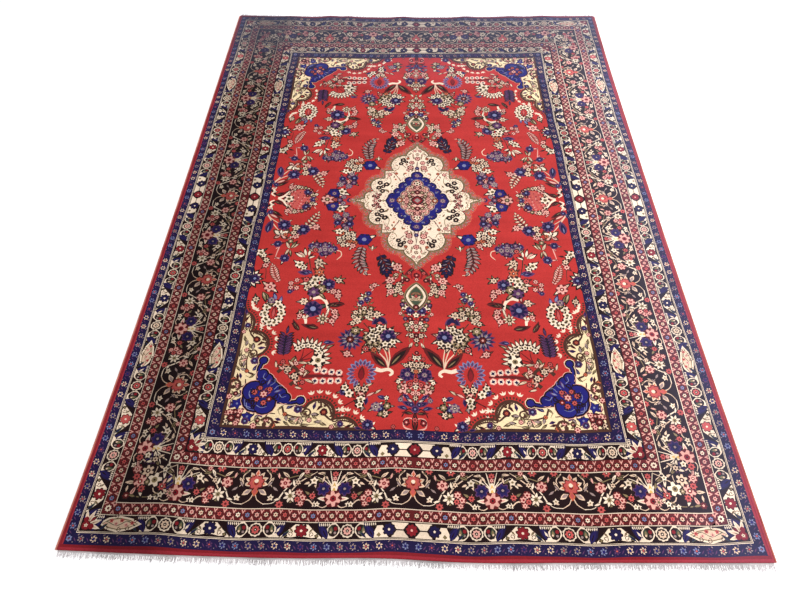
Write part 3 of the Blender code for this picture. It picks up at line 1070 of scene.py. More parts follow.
def divided(path):
    """The same line with points added wherever two neighbours are far apart."""
    points = [path[0]]
    for a, b in zip(path, path[1:]):
        count = math.ceil(math.dist(a, b) / LONGEST_STEP)
        points += [a + (b - a) * k / count for k in range(1, count + 1)]
    return np.array(points)


def grown(outline, by):
    """An anticlockwise outline moved outwards."""
    step = np.roll(outline, -1, axis=0) - np.roll(outline, 1, axis=0)
    right = np.column_stack((step[:, 1], -step[:, 0]))
    return outline + by * right / np.maximum(np.hypot(step[:, 0], step[:, 1]), 1e-6)[:, None]


def comb(outline, away, every, motifs, closed=True):
    """Motifs that stand out all along an outline, by turns, away from it."""
    line = np.vstack((outline, outline[:1])) if closed else outline
    ahead = np.concatenate(([0], np.cumsum(np.hypot(*np.diff(line, axis=0).T))))
    shapes = []
    for number, at in enumerate(np.arange(every / 2, ahead[-1], every)):
        x, y = (np.interp(at, ahead, line[:, k]) for k in (0, 1))
        x2, y2 = (np.interp(at + 1, ahead, line[:, k]) for k in (0, 1))
        turn = math.degrees(math.atan2(y2 - y, x2 - x)) + 180
        motif = [(dye, outline + (0, away)) for dye, outline in motifs[number % len(motifs)]]
        shapes += placed(motif, x, y, turn)
    return shapes


# The leaves' dyes from edge to vein, and their widths as shares of their lengths
FROND_DYES = {
    "navy leaf": (0.46, ("purple", "navy", "sky")), "dark leaf": (0.34, ("maroon", "dark", "olive")),
    "cream leaf": (0.34, ("brown", "cream", "olive")), "ivory leaf": (0.32, ("dark", "ivory", "cream")),
    "olive leaf": (0.34, ("dark", "olive", "cream")), "pink leaf": (0.32, ("maroon", "pink")),
    "grey leaf": (0.45, ("dark", "grey", "ivory")), "brown leaf": (0.40, ("brown", "olive")),
}


def heads(table):
    """Flowers of several kinds; each kind's rows are x, y and radius."""
    shapes = []
    for kind, rows in table.items():
        for x, y, radius in rows:
            shapes += placed(bloom(kind, radius), x, y, (x - y) % 90)
    return shapes


def fronds(table):
    """Leaves of several kinds; each kind's rows are x and y of the foot, turn and length."""
    shapes = []
    for kind, rows in table.items():
        share, dyes = FROND_DYES[kind]
        for x, y, turn, length in rows:
            shapes += placed(leaf(length, length * share, dyes, 0.3), x, y, turn)
    return shapes


def stalks(table, width):
    return [shape for dye, paths in table.items() for path in paths
            for shape in stem(smooth(path), width, dye)]


BERRY = [("dark", ring(13, 5, 0.16)), ("cream", ring(4, sides=5))]
edge = fourfold(arcs(MEDALLION))
rim = grown(divided(edge), OUTLINE_WIDTH)
dash = placed(leaf(11, 2.6, ("olive",)), 5.5, 0, 90)
medallion = [("ivory", edge)] + comb(grown(edge, -7), -4, 10.5, [dash])
specks = [leaf(11, 4, (dye,)) for dye in ("brown", "rose", "olive", "maroon")]
medallion += comb(grown(edge, -20), -4, 12, specks)
medallion += comb(grown(edge, -7), -5, 16, [leaf(12, 5, (dye,)) for dye in ("cream", "olive")])
quarter = stalks({
    "brown": (
        ((-150, -56), (-164, -74), (-182, -84)), ((-88, -140), (-108, -176), (-132, -208)),
        ((-10, -212), (-4, -250), (0, -290)), ((-60, -240), (-80, -262), (-88, -290)),
        ((-60, -336), (-46, -318), (-58, -300)), ((-176, -70), (-190, -66), (-204, -74)),
    ),
    "olive": (
        ((-160, 0), (-176, -2), (-200, 0)), ((-176, -60), (-190, -50), (-186, -38)),
        ((-122, -216), (-104, -230), (-96, -250)), ((-40, -356), (-22, -344), (-26, -322)),
        ((-252, -10), (-262, -30), (-248, -48)), ((-150, -110), (-140, -140), (-148, -180)),
    ),
}, 5.0)
quarter += fronds({
    "brown leaf": (
        (-146, -62, 130, 34), (-120, -182, 20, 22), (-74, -178, 200, 26), (-46, -204, 190, 24),
        (-104, -250, 150, 22), (-20, -232, 30, 26), (-24, -262, 24, 22), (-18, -330, 20, 24),
        (-34, -352, 60, 22), (-232, -40, 20, 20), (-140, -194, 80, 20), (-128, -112, 40, 24),
    ),
    "pink leaf": (
        (-152, -182, 30, 26), (-152, -204, 70, 22), (-104, -170, -30, 22), (-60, -170, 30, 22),
        (-24, -352, 10, 26), (-240, -66, 60, 20),
    ),
})
for x, y, size in (
    (-184, -70, 1.2), (-204, -94, 1.2), (-198, -130, 1.25), (-164, -118, 1.3), (-181, -104, 1.0),
    (-88, -272, 1.1), (-78, -300, 1.3), (-60, -284, 0.9),
):
    quarter += placed(BERRY, x, y, x, size)
quarter += heads({
    "pink": ((-216, -14, 11), (-36, -242, 17), (-30, -280, 14), (-204, -40, 10), (-146, -190, 11),
             (-50, -222, 9), (-14, -374, 9)),
    "maroon": ((-226, -34, 10), (-206, -24, 10), (-196, -44, 9), (-228, 0, 8), (-196, 0, 9),
               (-214, -52, 8), (-58, -264, 8)),
    "orange": ((-112, -196, 9), (-62, -196, 8), (-116, -152, 8), (-52, -312, 9)),
})
medallion += mirrored(quarter, along=True)
medallion += heads({"pink": ((0, -312, 15), (0, 312, 15)), "navy": ((0, -236, 12), (0, 236, 12))})
medallion += heads({"cream": ((0, -346, 10), (0, 346, 10))})

blue = fourfold(arcs(BLUE_BAND, 5))
heart = fourfold(arcs(HEART, 5))
medallion += comb(grown(blue, 12), 0, 12, specks)
medallion += [("navy", grown(blue, 5)), ("blue", grown(blue, -4))]
hooks = comb(blue, -22, 15, [leaf(13, 6, (dye,)) for dye in ("night", "purple", "navy", "grey")])
medallion += hooks + mirrored(heads({"sky": ((-62, -112, 9), (-100, -58, 8), (-30, -150, 7))}), along=True)
medallion += heads({"lilac": ((0, -180, 13), (0, 180, 13), (-132, 0, 15), (132, 0, 15))})
medallion += [("grey", grown(heart, 5)), ("brown", grown(heart, 1)), ("pink", grown(heart, -3))]
pair = [leaf(14, 7, dyes) for dyes in (("maroon", "rose"), ("brown", "cream"))]
medallion += comb(grown(heart, -6), -4, 12, pair)
petals = stalks({"cream": (((-96, -8), (-70, -40), (-40, -84), (-8, -124)),)}, 5.0) + heads({
    "cream": ((-72, -20, 12), (-48, -48, 13), (-24, -96, 12), (-34, -8, 10), (-14, -40, 8)),
    "pink": ((-56, -14, 12), (-60, -46, 9), (-34, -72, 12), (-12, -76, 9), (-18, -118, 8), (-84, -8, 8)),
    "olive": ((-40, -28, 11), (-24, -56, 11), (-74, -34, 7), (-42, -84, 8)),
    "maroon": ((-24, -22, 9), (-58, -30, 8), (-30, -44, 7), (-14, -94, 9)),
})
medallion += mirrored(petals, along=True)
medallion += heads({
    "maroon": ((0, -58, 15), (0, 58, 15)), "pink": ((0, -86, 11), (0, 86, 11)),
    "orange": ((-92, 0, 17), (92, 0, 17)), "ivory": ((0, -122, 17), (0, 122, 17), (-92, 0, 9), (92, 0, 9)),
})
medallion += [("dark", star(36, 4, 0.2)), ("crimson", star(27, 4, 0.2)), ("grey", star(17, 4, 0.3))]
medallion_piece = inlay("medallion", [("brown", rim)], medallion, pile, seed=9)

# ---------------------------------------------------------------- corner frames
# A straw-coloured quarter frame in each corner of the field, edged with dark brown combs and
# crowded with flowers, with a blue shape of round lobes on its inner diagonal.
# Its places run along the end and up the side from the field's corner.
FIELD_DEPTH = 463.0
CORNER_FRAME = (
    Knot(618, 0, -0.10), Knot(548, 16, 0.22), Knot(450, 52, 0.46), Knot(322, 96, 0.10),
    Knot(255, 112, 0.0),
)
FRAME_END = CORNER_FRAME[0].x
to_corner = np.array(at_depth(FIELD_DEPTH))
half = arcs(CORNER_FRAME, 8)
frame_line = divided(np.vstack((half, half[::-1, ::-1])))


def both_ways(motif):
    """A corner motif and its mirror image in the corner's diagonal."""
    return motif + [(dye, outline[:, ::-1]) for dye, outline in motif]


def frame_outline():
    """The frame's outline, with the same points along its straight sides as its neighbours."""
    sides = []
    for reach in to_corner:
        places = stations(reach) + reach
        sides.append(places[(places > 0) & (places < FRAME_END - 5)])
    foot = np.column_stack((sides[0], np.zeros(len(sides[0]))))
    wall = np.column_stack((np.zeros(len(sides[1])), sides[1]))
    return np.vstack(((0, 0), foot, frame_line, wall[::-1]))


def into_corners(motif):
    return mirrored([(dye, outline - to_corner) for dye, outline in motif], along=True)


parts = stalks({
    "brown": (
        ((560, 10), (520, 34), (476, 40), (452, 26)),
        ((440, 56), (424, 96), (384, 126), (342, 112), (330, 84)),
        ((236, 92), (250, 64), (300, 50), (352, 56)), ((60, 60), (100, 92), (128, 72), (118, 46)),
        ((196, 24), (176, 40), (184, 66), (212, 64)), ((410, 64), (436, 44), (462, 50)),
    ),
}, 9.0)
parts += stalks({
    "olive": (
        ((240, 100), (222, 80), (230, 60)), ((330, 60), (370, 50), (400, 90)),
        ((300, 30), (340, 20), (380, 26)), ((150, 92), (170, 76), (160, 56)),
        ((20, 110), (40, 140), (30, 170)),
    ),
    "brown": (
        ((500, 14), (480, 22), (464, 14)), ((420, 20), (400, 34), (384, 24)),
        ((90, 20), (110, 30), (100, 44)),
    ),
}, 4.0)
parts += fronds({
    "olive leaf": (
        (300, 20, 70, 40), (330, 50, 40, 42), (352, 20, 100, 40), (384, 44, 60, 36), (310, 64, -60, 34),
        (276, 12, 60, 36), (216, 76, -40, 34), (334, 34, -20, 40), (160, 16, 60, 34), (84, 92, 60, 32),
        (420, 20, 80, 32), (470, 12, 60, 30), (318, 44, 150, 34),
    ),
    "grey leaf": (
        (350, 64, -80, 38), (300, 44, 100, 36), (130, 36, -30, 34), (400, 40, 110, 34), (262, 30, 20, 34),
    ),
    "navy leaf": (
        (252, 84, -50, 40), (362, 84, 0, 34), (560, 8, 90, 32), (74, 142, 60, 34), (212, 44, -100, 30),
    ),
    "dark leaf": (
        (396, 112, 150, 38), (420, 68, 40, 34), (524, 26, 120, 38), (150, 62, 10, 34), (240, 24, 80, 36),
    ),
    "pink leaf": ((292, 26, -30, 36), (178, 12, -100, 34), (110, 20, 90, 30)),
})
blue_star = [("navy", star(30, 5, 0.45)), ("blue", star(24, 5, 0.45)), ("sky", ring(5, sides=5))]
parts += placed(blue_star, 102, 50)
parts += heads({
    "navy": ((300, 84, 16), (474, 26, 12), (30, 96, 14)),
    "pink": ((62, 30, 15), (132, 12, 13), (180, 40, 12), (440, 14, 10), (350, 40, 10), (20, 60, 12)),
    "maroon": ((52, 66, 14), (404, 76, 15), (146, 36, 10)),
    "orange": ((208, 14, 12), (404, 76, 7), (250, 62, 9)),
    "cream": ((316, 34, 11), (150, 84, 11), (26, 22, 12)),
})
for x, y, size, turn in ((160, 36, 30, -30), (318, 70, 20, 0), (462, 44, 14, 160), (396, 96, 18, 60)):
    parts += placed(curl(size, size * 0.3 + 2, "brown"), x, y, turn)
frame_motifs = [("straw", grown(frame_outline(), -13))]
lobe_line = grown(arcs(CORNER_FRAME[:4], 9), 1)[1:]
frame_motifs += both_ways(comb(lobe_line[:-2], -12, 12, [placed(leaf(13, 8, ("brown",)), turn=180)], False))
frame_motifs += both_ways(parts) + heads({"maroon": ((40, 40, 17),), "pink": ((70, 70, 12),)})

scroll = stem(smooth(((190, 250), (226, 282), (262, 270), (276, 246))), 17, "brown", 0.7)
scroll += placed(fan(5, 190, 40, 16, ("brown", "pink", "cream")), 214, 262, -40)
scroll += placed(fan(4, 150, 44, 16, ("brown", "cream", "pink")), 254, 280, 20)
scroll += placed(leaf(44, 15, ("maroon", "orange", "pink")), 206, 286, -100)
scroll += placed(leaf(40, 14, ("dark", "olive")), 236, 296, -30)
scroll += placed(curl(14, 5, "brown"), 196, 270, 70)
for kind, radius, x, y in (("cream", 17, 232, 264), ("pink", 12, 262, 292), ("rose", 11, 204, 300)):
    scroll += placed(bloom(kind, radius), x, y)
scroll += placed(leaf(40, 14, ("brown", "cream")), 182, 270, 14)
LOBES = (
    (124, 128, 58), (160, 108, 46), (108, 160, 46), (196, 160, 34), (160, 196, 34), (214, 150, 30),
    (150, 214, 30), (240, 132, 22), (132, 240, 22), (172, 172, 40),
)
knobs = stem(smooth(((206, 122), (240, 116), (270, 112), (304, 122))), 24, "blue", 0.7)
knobs += [("blue", ring(20, sides=10) + (304, 122))]
blob = both_ways([(dye, grown(anticlockwise(outline), 4)) for dye, outline in knobs])
blob = [("cream", outline) for _, outline in blob]
blob += both_ways([("night", grown(anticlockwise(outline), 1)) for _, outline in knobs])
for away, dye in ((6, "pink"), (3.5, "night")):
    blob += [(dye, ring(radius + away, sides=14) + (x, y)) for x, y, radius in LOBES]
for x, y, radius in LOBES:
    blob += [("night", ring(radius + 1, sides=14) + (x, y)), ("blue", ring(radius - 3, sides=14) + (x, y))]
blob += both_ways([(dye, grown(anticlockwise(outline), -5)) for dye, outline in knobs])
veins = (
    ((88, 108), (96, 84), (124, 78)), ((150, 214), (136, 226), (140, 244)),
    ((172, 190), (188, 204), (186, 222)), ((100, 130), (90, 150), (96, 172)),
)
inside = stalks({"sky": veins}, 3.5)
for x, y, size, turn in ((104, 118, 18, -50), (150, 96, 13, 20), (196, 150, 12, -70), (120, 84, 10, 100)):
    inside += placed(curl(size, 4.5, "night"), x, y, turn)
inside += placed(leaf(36, 12, ("purple", "sky")), 190, 158, -70)
inside += placed(leaf(30, 11, ("maroon", "rose")), 148, 168, -60)
inside += heads({"rose": ((112, 156, 13), (176, 132, 11)), "crimson": ((128, 176, 12),)})
blob += both_ways(inside) + heads({"pink": ((150, 150, 16),), "rose": ((172, 172, 12), (126, 126, 12))})
frame_motifs += both_ways(scroll) + blob
grounds = [("brown", outline) for _, outline in into_corners([("brown", frame_outline())])]
corner_frames = inlay("corner_frames", grounds, into_corners(frame_motifs), pile, seed=10)

# ---------------------------------------------------------------- field
# The madder red ground round the medallion, with loose sprays of flowers that are the same
# in all four quarters, and figures on its two middle lines. It is one field of the same
# pile, cut as two meshes: the front and the back half.
def plume(knots, pairs, reach, width, dyes, stalk, lean=52.0, slim=0.5):
    """Leaflets in pairs along a stalk, longest in the middle, and one more at its tip."""
    path = smooth(knots)
    shapes = stem(path, 4.0, stalk)
    for number in range(pairs):
        share = (number + 0.5) / pairs
        spot = min(int(share * (len(path) - 1)), len(path) - 2)
        step = path[spot + 1] - path[spot]
        turn = math.degrees(math.atan2(-step[0], step[1]))
        at = path[spot] + step * (share * (len(path) - 1) - spot)
        size = reach * (slim + (1 - slim) * math.sin(math.pi * share))
        for side in (1, -1):
            shapes += placed(leaf(size, width, dyes), *at, turn + side * lean)
    return shapes + placed(leaf(reach * slim * 1.3, width, dyes), *path[-1], turn)


def posy(radius, kinds, count, size, leaves=0, leaf_dyes=("dark", "olive"), tall=1.0):
    """Flowers packed on a spiral from the middle out, over a rim of leaves."""
    shapes = []
    for number in range(leaves):
        turn = 360 * number / leaves + 10
        at = math.radians(turn)
        x, y = -0.55 * radius * math.sin(at), 0.55 * radius * tall * math.cos(at)
        shapes += placed(leaf(radius * 0.8, radius * 0.3, leaf_dyes), x, y, turn)
    for number in reversed(range(count)):
        away = radius * math.sqrt((number + 0.2) / count)
        at = math.radians(number * 137.5)
        kind = kinds[number % len(kinds)]
        head = bloom(kind, size * (1.15 if number == 0 else 1))
        shapes += placed(head, away * math.cos(at), away * tall * math.sin(at), number * 50)
    return shapes


def butterfly():
    """A wide ivory lily: two big lobes, two small pink ones and a dark cross between."""
    shapes = []
    for turn, size, dye in ((128, 44, "pink"), (-128, 44, "pink"), (52, 54, "ivory"), (-52, 54, "ivory")):
        shapes += placed(leaf(size, size * 0.62, ("brown", dye)), turn=turn)
    shapes += wreath(4, 4, 4, leaf(24, 8, ("dark",)), 30)
    return shapes + placed(leaf(34, 18, ("dark", "ivory")), 0, 6)


def bell_row(count):
    """Pale round bells side by side, each with dark seeds in it."""
    shapes = []
    for number in range(count):
        bell = [("pink", ring(16, 6, 0.14)), ("ivory", ring(12, sides=7)), ("navy", star(10, 4, 0.45))]
        shapes += placed(bell, 32 * number, 0, 20 * number)
    return shapes


def spire(height, wide, kinds, size):
    """Small flowers and dark leaves stacked in rows that narrow to the top."""
    shapes, number = [], 0
    for y in np.arange(0, height, size * 1.7):
        reach = wide * (1 - y / height)
        for x in np.linspace(-reach, reach, max(1, int(reach / size) + 1)):
            kind = kinds[number % len(kinds)]
            cluster = fan(2, 110, size * 2.1, size * 0.7, ("dark", "olive"))
            if kind in PETALS:
                cluster += bloom(kind, size)
            shapes += placed(cluster, x, y, 9 * number % 40 - 20)
            number += 1
    return shapes


RED_LEAVES = ("dark", "grey", "rose")
BLUE_LEAVES = ("purple", "navy", "sky")
arch = np.radians(np.linspace(-90, 90, 9))
dome = np.column_stack((np.sin(arch), 1.2 * np.cos(arch)))
SPRAYS = {
    "butterfly": butterfly(),
    "leaf arc": plume(
        ((0, 0), (20, 36), (42, 68), (56, 106)), 6, 34, 17, ("brown", "cream", "pink"), "maroon", 64
    ),
    "cream posy": posy(46, ("cream", "ivory", "orange", "ivory"), 13, 15, 8, ("brown", "cream"), 1.25),
    "grey plume": [("maroon", ring(70, sides=12, wide=0.3) + (8, 78))]
    + plume(((0, 0), (12, 46), (18, 100), (-4, 150)), 8, 48, 18, RED_LEAVES, "dark", 56, 0.6),
    "navy plume": [("maroon", ring(50, sides=12, wide=0.4) + (-2, 60))]
    + plume(((0, 0), (-2, 44), (-4, 86), (4, 122)), 5, 56, 25, ("dark", "navy", "grey"), "maroon", 46),
    "tree": fan(9, 230, 62, 20, ("brown", "cream", "olive"))
    + spire(128, 46, ("cream", "olive", "ivory", "brown"), 13)
    + placed(fan(5, 190, 38, 15, ("dark", "ivory")), 2, 104) + placed(bloom("olive", 13), 2, 110),
    "dome": [("purple", dome * 35), ("navy", dome * 28 + (0, 3)), ("rose", dome * 12)],
    "bouquet": posy(66, ("cream", "ivory", "olive", "cream", "ivory"), 21, 18, 13, ("brown", "cream"), 0.82),
    "rosette": wreath(12, 12, 14, leaf(46, 19, BLUE_LEAVES)) + wreath(10, 10, 9, leaf(30, 8, ("grey",)))
    + placed(bloom("maroon", 17)),
    "lilac wreath": placed(leaf(70, 30, ("maroon", "crimson")), 0, -34)
    + wreath(28, 34, 15, leaf(36, 19, ("sky", "purple", "ivory")), -135, 290),
    "ivory arc": wreath(62, 68, 12, leaf(52, 19, ("brown", "ivory", "cream")), -95, 135)
    + wreath(66, 72, 8, bloom("ivory", 16), -100, 140),
    "feather": [("navy", ring(50, sides=12, wide=0.4) + (0, 54))]
    + plume(((0, 0), (-2, 50), (2, 108)), 8, 46, 16, ("dark", "purple", "navy"), "dark", 60, 0.8),
    "ivory wreath": wreath(38, 54, 10, bloom("ivory", 20), 24, 312)
    + placed(leaf(70, 20, ("maroon", "rose")), 2, -30) + placed(bloom("olive", 16), -16, 52),
    "bell row": bell_row(4),
    "pink plume": plume(((0, 0), (-6, 50), (-2, 104)), 8, 32, 13, ("brown", "pink", "olive"), "brown"),
    "lily star": fan(9, 340, 36, 14, ("brown", "cream", "pink")) + placed(bloom("olive", 12)),
    "half lily": fan(7, 170, 66, 28, ("dark", "ivory", "grey"))
    + placed(fan(3, 90, 44, 20, ("dark", "navy"))),
    "pods": placed(leaf(46, 20, ("navy", "sky")), -8, -8, 14)
    + placed(leaf(40, 18, ("purple", "sky")), 8, -26, -14),
}
# The quarter's tables, in millimetres from the rug's middle. Their places were read where they
# lie on the rug, drift and all. A head's row is x, y and radius, a frond's is x, y,
# turn and length, and a spot's is its form, x, y and turn; stalks and ribbons are paths.
HEADS = {
    "navy": (
        (-656, -192, 27), (-670, -316, 17), (-625, -402, 19), (-555, -222, 27), (-389, -172, 17),
        (-327, -180, 18), (-502, -326, 13), (-461, -322, 13), (-418, -326, 15), (-389, -341, 14),
        (-443, -376, 13), (-414, -364, 15), (-398, -553, 25), (-573, -596, 10), (-457, -691, 34),
        (-114, -832, 27), (-288, -1090, 15), (-750, -528, 19), (-207, -602, 11), (-132, -1168, 14),
        (-240, -652, 11), (-214, -634, 11), (-182, -1233, 18),
    ),
    "blue": ((-246, -280, 31), (-425, -63, 29)),
    "ivory": (
        (-375, -230, 17), (-745, -372, 18), (-728, -388, 13), (-548, -440, 19), (-525, -458, 14),
        (-466, -530, 20), (-493, -550, 20), (-461, -566, 18), (-434, -524, 14), (-266, -1098, 17),
        (-285, -1072, 14), (-216, -1124, 17), (-219, -1148, 14), (-411, -949, 27), (-386, -74, 24),
        (-112, -1122, 9), (-300, -252, 12), (-96, -862, 16), (-128, -870, 14),
    ),
    "pink": (
        (-493, -206, 17), (-589, -262, 17), (-80, -455, 20), (-112, -532, 19), (-107, -595, 17),
        (-670, -573, 24), (-352, -596, 14), (-372, -592, 14), (-348, -616, 14), (-357, -703, 14),
        (-354, -729, 13), (-367, -753, 13), (-291, -915, 16), (-218, -1092, 13), (-711, -449, 13),
        (-362, -150, 14), (-550, -532, 11), (-575, -548, 11), (-573, -573, 11), (-545, -576, 11),
        (-300, -322, 15), (-196, -566, 11), (-184, -556, 12), (-512, -728, 12),
    ),
    "cream": (
        (-593, -208, 17), (-601, -242, 13), (-457, -426, 18), (-502, -652, 17), (-723, -644, 15),
        (-116, -564, 14), (-75, -586, 17), (-71, -556, 13), (-253, -748, 17), (-166, -718, 17),
        (-198, -708, 14), (-272, -762, 12), (-232, -1078, 14), (-203, -1080, 13), (-116, -1190, 14),
        (-711, -417, 13), (-352, -530, 15), (-366, -290, 12), (-86, -500, 9), (-493, -575, 17),
    ),
    "olive": (
        (-258, -800, 18), (-430, -582, 22), (-107, -1158, 13), (-133, -1190, 10), (-85, -616, 10),
        (-610, -296, 12),
    ),
    "orange": ((-450, -486, 18), (-640, -255, 10), (-176, -896, 12)),
    "purple": (
        (-478, -318, 13), (-436, -316, 13), (-428, -372, 13), (-327, -146, 16), (-380, -146, 14),
        (-354, -190, 13), (-462, -600, 25),
    ),
    "lilac": (
        (-488, -340, 13), (-460, -352, 14), (-436, -335, 13), (-405, -350, 13), (-400, -130, 17),
        (-352, -120, 16), (-340, -208, 12), (-153, -1158, 17), (-650, -645, 13), (-434, -348, 12),
    ),
    "rose": ((-212, -891, 14), (-480, -354, 12), (-507, -530, 13)),
}
FRONDS = {
    "navy leaf": (
        (-734, -250, 0, 80), (-194, -1152, 2, 34), (-150, -1112, -105, 40), (-488, -492, 92, 58),
        (-480, -494, 70, 40), (-398, -862, -80, 44), (-758, -110, 170, 40), (-560, -597, -20, 24),
    ),
    "dark leaf": (
        (-738, -118, -118, 54), (-384, -676, -72, 66), (-384, -676, -52, 46), (-420, -792, 84, 74),
        (-116, -984, 49, 98), (-108, -984, -35, 124), (-512, -408, -30, 40), (-716, -388, -70, 34),
        (-505, -805, 35, 48), (-520, -790, 30, 44), (-166, -752, -20, 14),
    ),
    "cream leaf": (
        (-607, -345, 32, 52), (-600, -340, -46, 46), (-611, -345, 162, 42), (-470, -420, -130, 60),
        (-470, -420, -165, 56), (-462, -424, -100, 48), (-524, -400, 42, 50), (-478, -735, 10, 54),
        (-500, -738, 30, 44), (-189, -575, -12, 26), (-204, -1070, -58, 38), (-164, -1102, -52, 38),
        (-466, -963, -92, 44), (-490, -964, -86, 40), (-457, -1040, -105, 44), (-462, -1030, -20, 34),
        (-660, -600, 54, 46), (-640, -175, -40, 26),
    ),
    "ivory leaf": (
        (-204, -352, 0, 38), (-104, -458, -2, 40), (-53, -536, 6, 42), (-534, -398, 60, 52),
        (-520, -390, 20, 52), (-508, -392, 2, 46), (-508, -405, -58, 36), (-390, -718, -5, 40),
        (-498, -744, -60, 44), (-485, -748, -20, 48), (-100, -850, -104, 46), (-108, -866, -128, 38),
        (-480, -550, 60, 34), (-470, -572, 100, 42),
    ),
    "olive leaf": (
        (-603, -345, -22, 54), (-607, -350, 200, 42), (-204, -346, 42, 32), (-204, -346, -42, 32),
        (-92, -524, 20, 30), (-695, -602, -140, 56), (-700, -600, -152, 60), (-440, -600, -130, 50),
        (-384, -888, -60, 38), (-352, -530, -60, 34), (-352, -530, -10, 32), (-352, -530, 50, 30),
        (-352, -530, -120, 34), (-118, -1150, -20, 28), (-484, -365, 60, 40), (-560, -556, -150, 30),
    ),
    "pink leaf": (
        (-744, -124, -112, 56), (-640, -404, 92, 32), (-655, -300, 120, 30), (-664, -333, 150, 24),
        (-195, -1112, -58, 40), (-476, -345, -150, 32), (-534, -380, 70, 34), (-198, -594, -30, 26),
    ),
    "grey leaf": (
        (-205, -1152, 176, 28), (-440, -560, -40, 44), (-452, -552, 150, 40), (-472, -560, 40, 40),
        (-152, -1140, 150, 36),
    ),
}
SPOTS = (
    ("butterfly", -664, -258, 0), ("leaf arc", -553, -222, 0), ("cream posy", -330, -272, 32),
    ("grey plume", -250, -322, 183), ("navy plume", -168, -368, 200), ("tree", -224, -728, 0),
    ("dome", -153, -770, 0), ("bouquet", -150, -838, 0), ("rosette", -280, -845, 0),
    ("lilac wreath", -221, -1008, 0), ("ivory arc", -462, -950, 0), ("feather", -562, -930, 0),
    ("bell row", -411, -995, -6), ("bell row", -411, -1045, 2), ("pink plume", -632, -545, 24),
    ("lily star", -408, -742, 0), ("half lily", -771, -528, -90), ("pods", -622, -634, 10),
    ("ivory wreath", -634, -712, 0),
)
STALKS = {
    "maroon": (
        ((-553, -222), (-532, -186), (-510, -156), (-496, -116)),
        ((-120, -400), (-105, -450), (-96, -490)),
        ((-484, -1026), (-430, -1022), (-360, -1018), (-296, -1022)),
        ((-489, -954), (-481, -930), (-478, -902)), ((-489, -954), (-462, -928), (-436, -904)),
        ((-489, -954), (-450, -944), (-418, -932)),
        ((-280, -1154), (-250, -1135), (-215, -1112), (-165, -1100)),
        ((-480, -354), (-470, -340), (-440, -350), (-410, -350)),
        ((-205, -330), (-225, -318), (-246, -300)),
    ),
    "brown": (
        ((-668, -226), (-650, -240), (-620, -290), (-608, -345)),
        ((-505, -400), (-496, -450), (-478, -515)), ((-560, -556), (-530, -556), (-500, -552)),
        ((-224, -760), (-205, -784), (-180, -812)), ((-390, -640), (-380, -670), (-388, -720)),
        ((-490, -610), (-440, -610), (-400, -640)),
        ((-750, -395), (-720, -430), (-704, -480), (-700, -530)),
        ((-620, -345), (-616, -370), (-624, -390)),
    ),
    "cream": (
        ((-762, -112), (-738, -145), (-706, -170), (-670, -188)),
        ((-764, -114), (-732, -160), (-700, -205), (-672, -236)),
        ((-110, -986), (-122, -950), (-150, -915), (-166, -895)),
        ((-110, -986), (-116, -940), (-130, -900), (-142, -880)),
        ((-110, -986), (-106, -940), (-112, -900), (-118, -870)),
        ((-375, -352), (-356, -358), (-352, -384), (-372, -408)),
        ((-225, -470), (-240, -492), (-206, -494)),
    ),
    "pink": (
        ((-162, -988), (-140, -996), (-116, -992), (-98, -998), (-92, -1012), (-104, -1022)),
        ((-655, -300), (-668, -380), (-672, -408)), ((-620, -270), (-600, -300), (-590, -310)),
    ),
}
RIBBONS = {
    "ivory": (
        ((-462, -634), (-428, -628), (-400, -650), (-388, -690), (-392, -722)),
        ((-522, -738), (-500, -732), (-484, -748), (-482, -770)),
        ((-164, -988), (-140, -997), (-116, -993), (-98, -999), (-92, -1013), (-104, -1022)),
    ),
    "maroon": (
        ((-549, -216), (-530, -182), (-506, -156), (-493, -122)),
        ((-470, -1028), (-430, -1024), (-360, -1020), (-296, -1022)),
    ),
    "dark": (
        ((-388, -676), (-372, -662), (-340, -655), (-318, -660)),
        ((-536, -764), (-524, -790), (-508, -804)), ((-474, -786), (-450, -778), (-424, -790)),
    ),
}
SWELL = 1.14                                # heads and fronds are knotted this much larger
SMALL_HEAD, SMALL_SWELL = 15, 1.2           # and small heads a little more


def undrifted(x, y):
    """A place on the rug as it lies, taken back to the pattern before the middle's drift."""
    pull = math.cos(math.pi / 2 * x / HALF_WIDTH) * math.cos(math.pi / 2 * y / HALF_LENGTH)
    return round(x - MIDDLE_DRIFT[0] * pull), round(y - MIDDLE_DRIFT[1] * pull)


def undrifted_paths(table):
    return {dye: [[undrifted(*p) for p in path] for path in paths] for dye, paths in table.items()}


def head_size(radius):
    return round(radius * (SMALL_SWELL if radius < SMALL_HEAD else SWELL))


def bed(table):
    """Two small leaves that stand out from under each larger flower, each of its own dyes."""
    shapes = []
    for x, y, radius in (row for rows in table.values() for row in rows if row[2] > 13):
        for number in range(2):
            dyes = BED_DYES[(x + 2 * number) % len(BED_DYES)]
            turn = (7 * x + 3 * y) % 180 + 180 * number
            shapes += placed(leaf(radius * 2.1, radius * 0.8, dyes), x, y, turn)
    return shapes


BED_DYES = (
    ("dark", "olive"), ("brown", "grey"), ("dark", "cream"), ("maroon", "brown"),
    ("dark", "ivory"), ("maroon", "pink"), ("dark", "green"),
)
flat_heads = {
    kind: [(*undrifted(x, y), head_size(radius)) for x, y, radius in rows]
    for kind, rows in HEADS.items()
}
flat_fronds = {
    kind: [(*undrifted(x, y), turn, round(length * SWELL)) for x, y, turn, length in rows]
    for kind, rows in FRONDS.items()
}
quarter = stalks(undrifted_paths(STALKS), 6.0) + bed(flat_heads)
quarter += stalks(undrifted_paths(RIBBONS), 19.0)
for form, x, y, turn in SPOTS:
    quarter += placed(SPRAYS[form], *undrifted(x, y), turn)
quarter += fronds(flat_fronds) + heads(flat_heads)

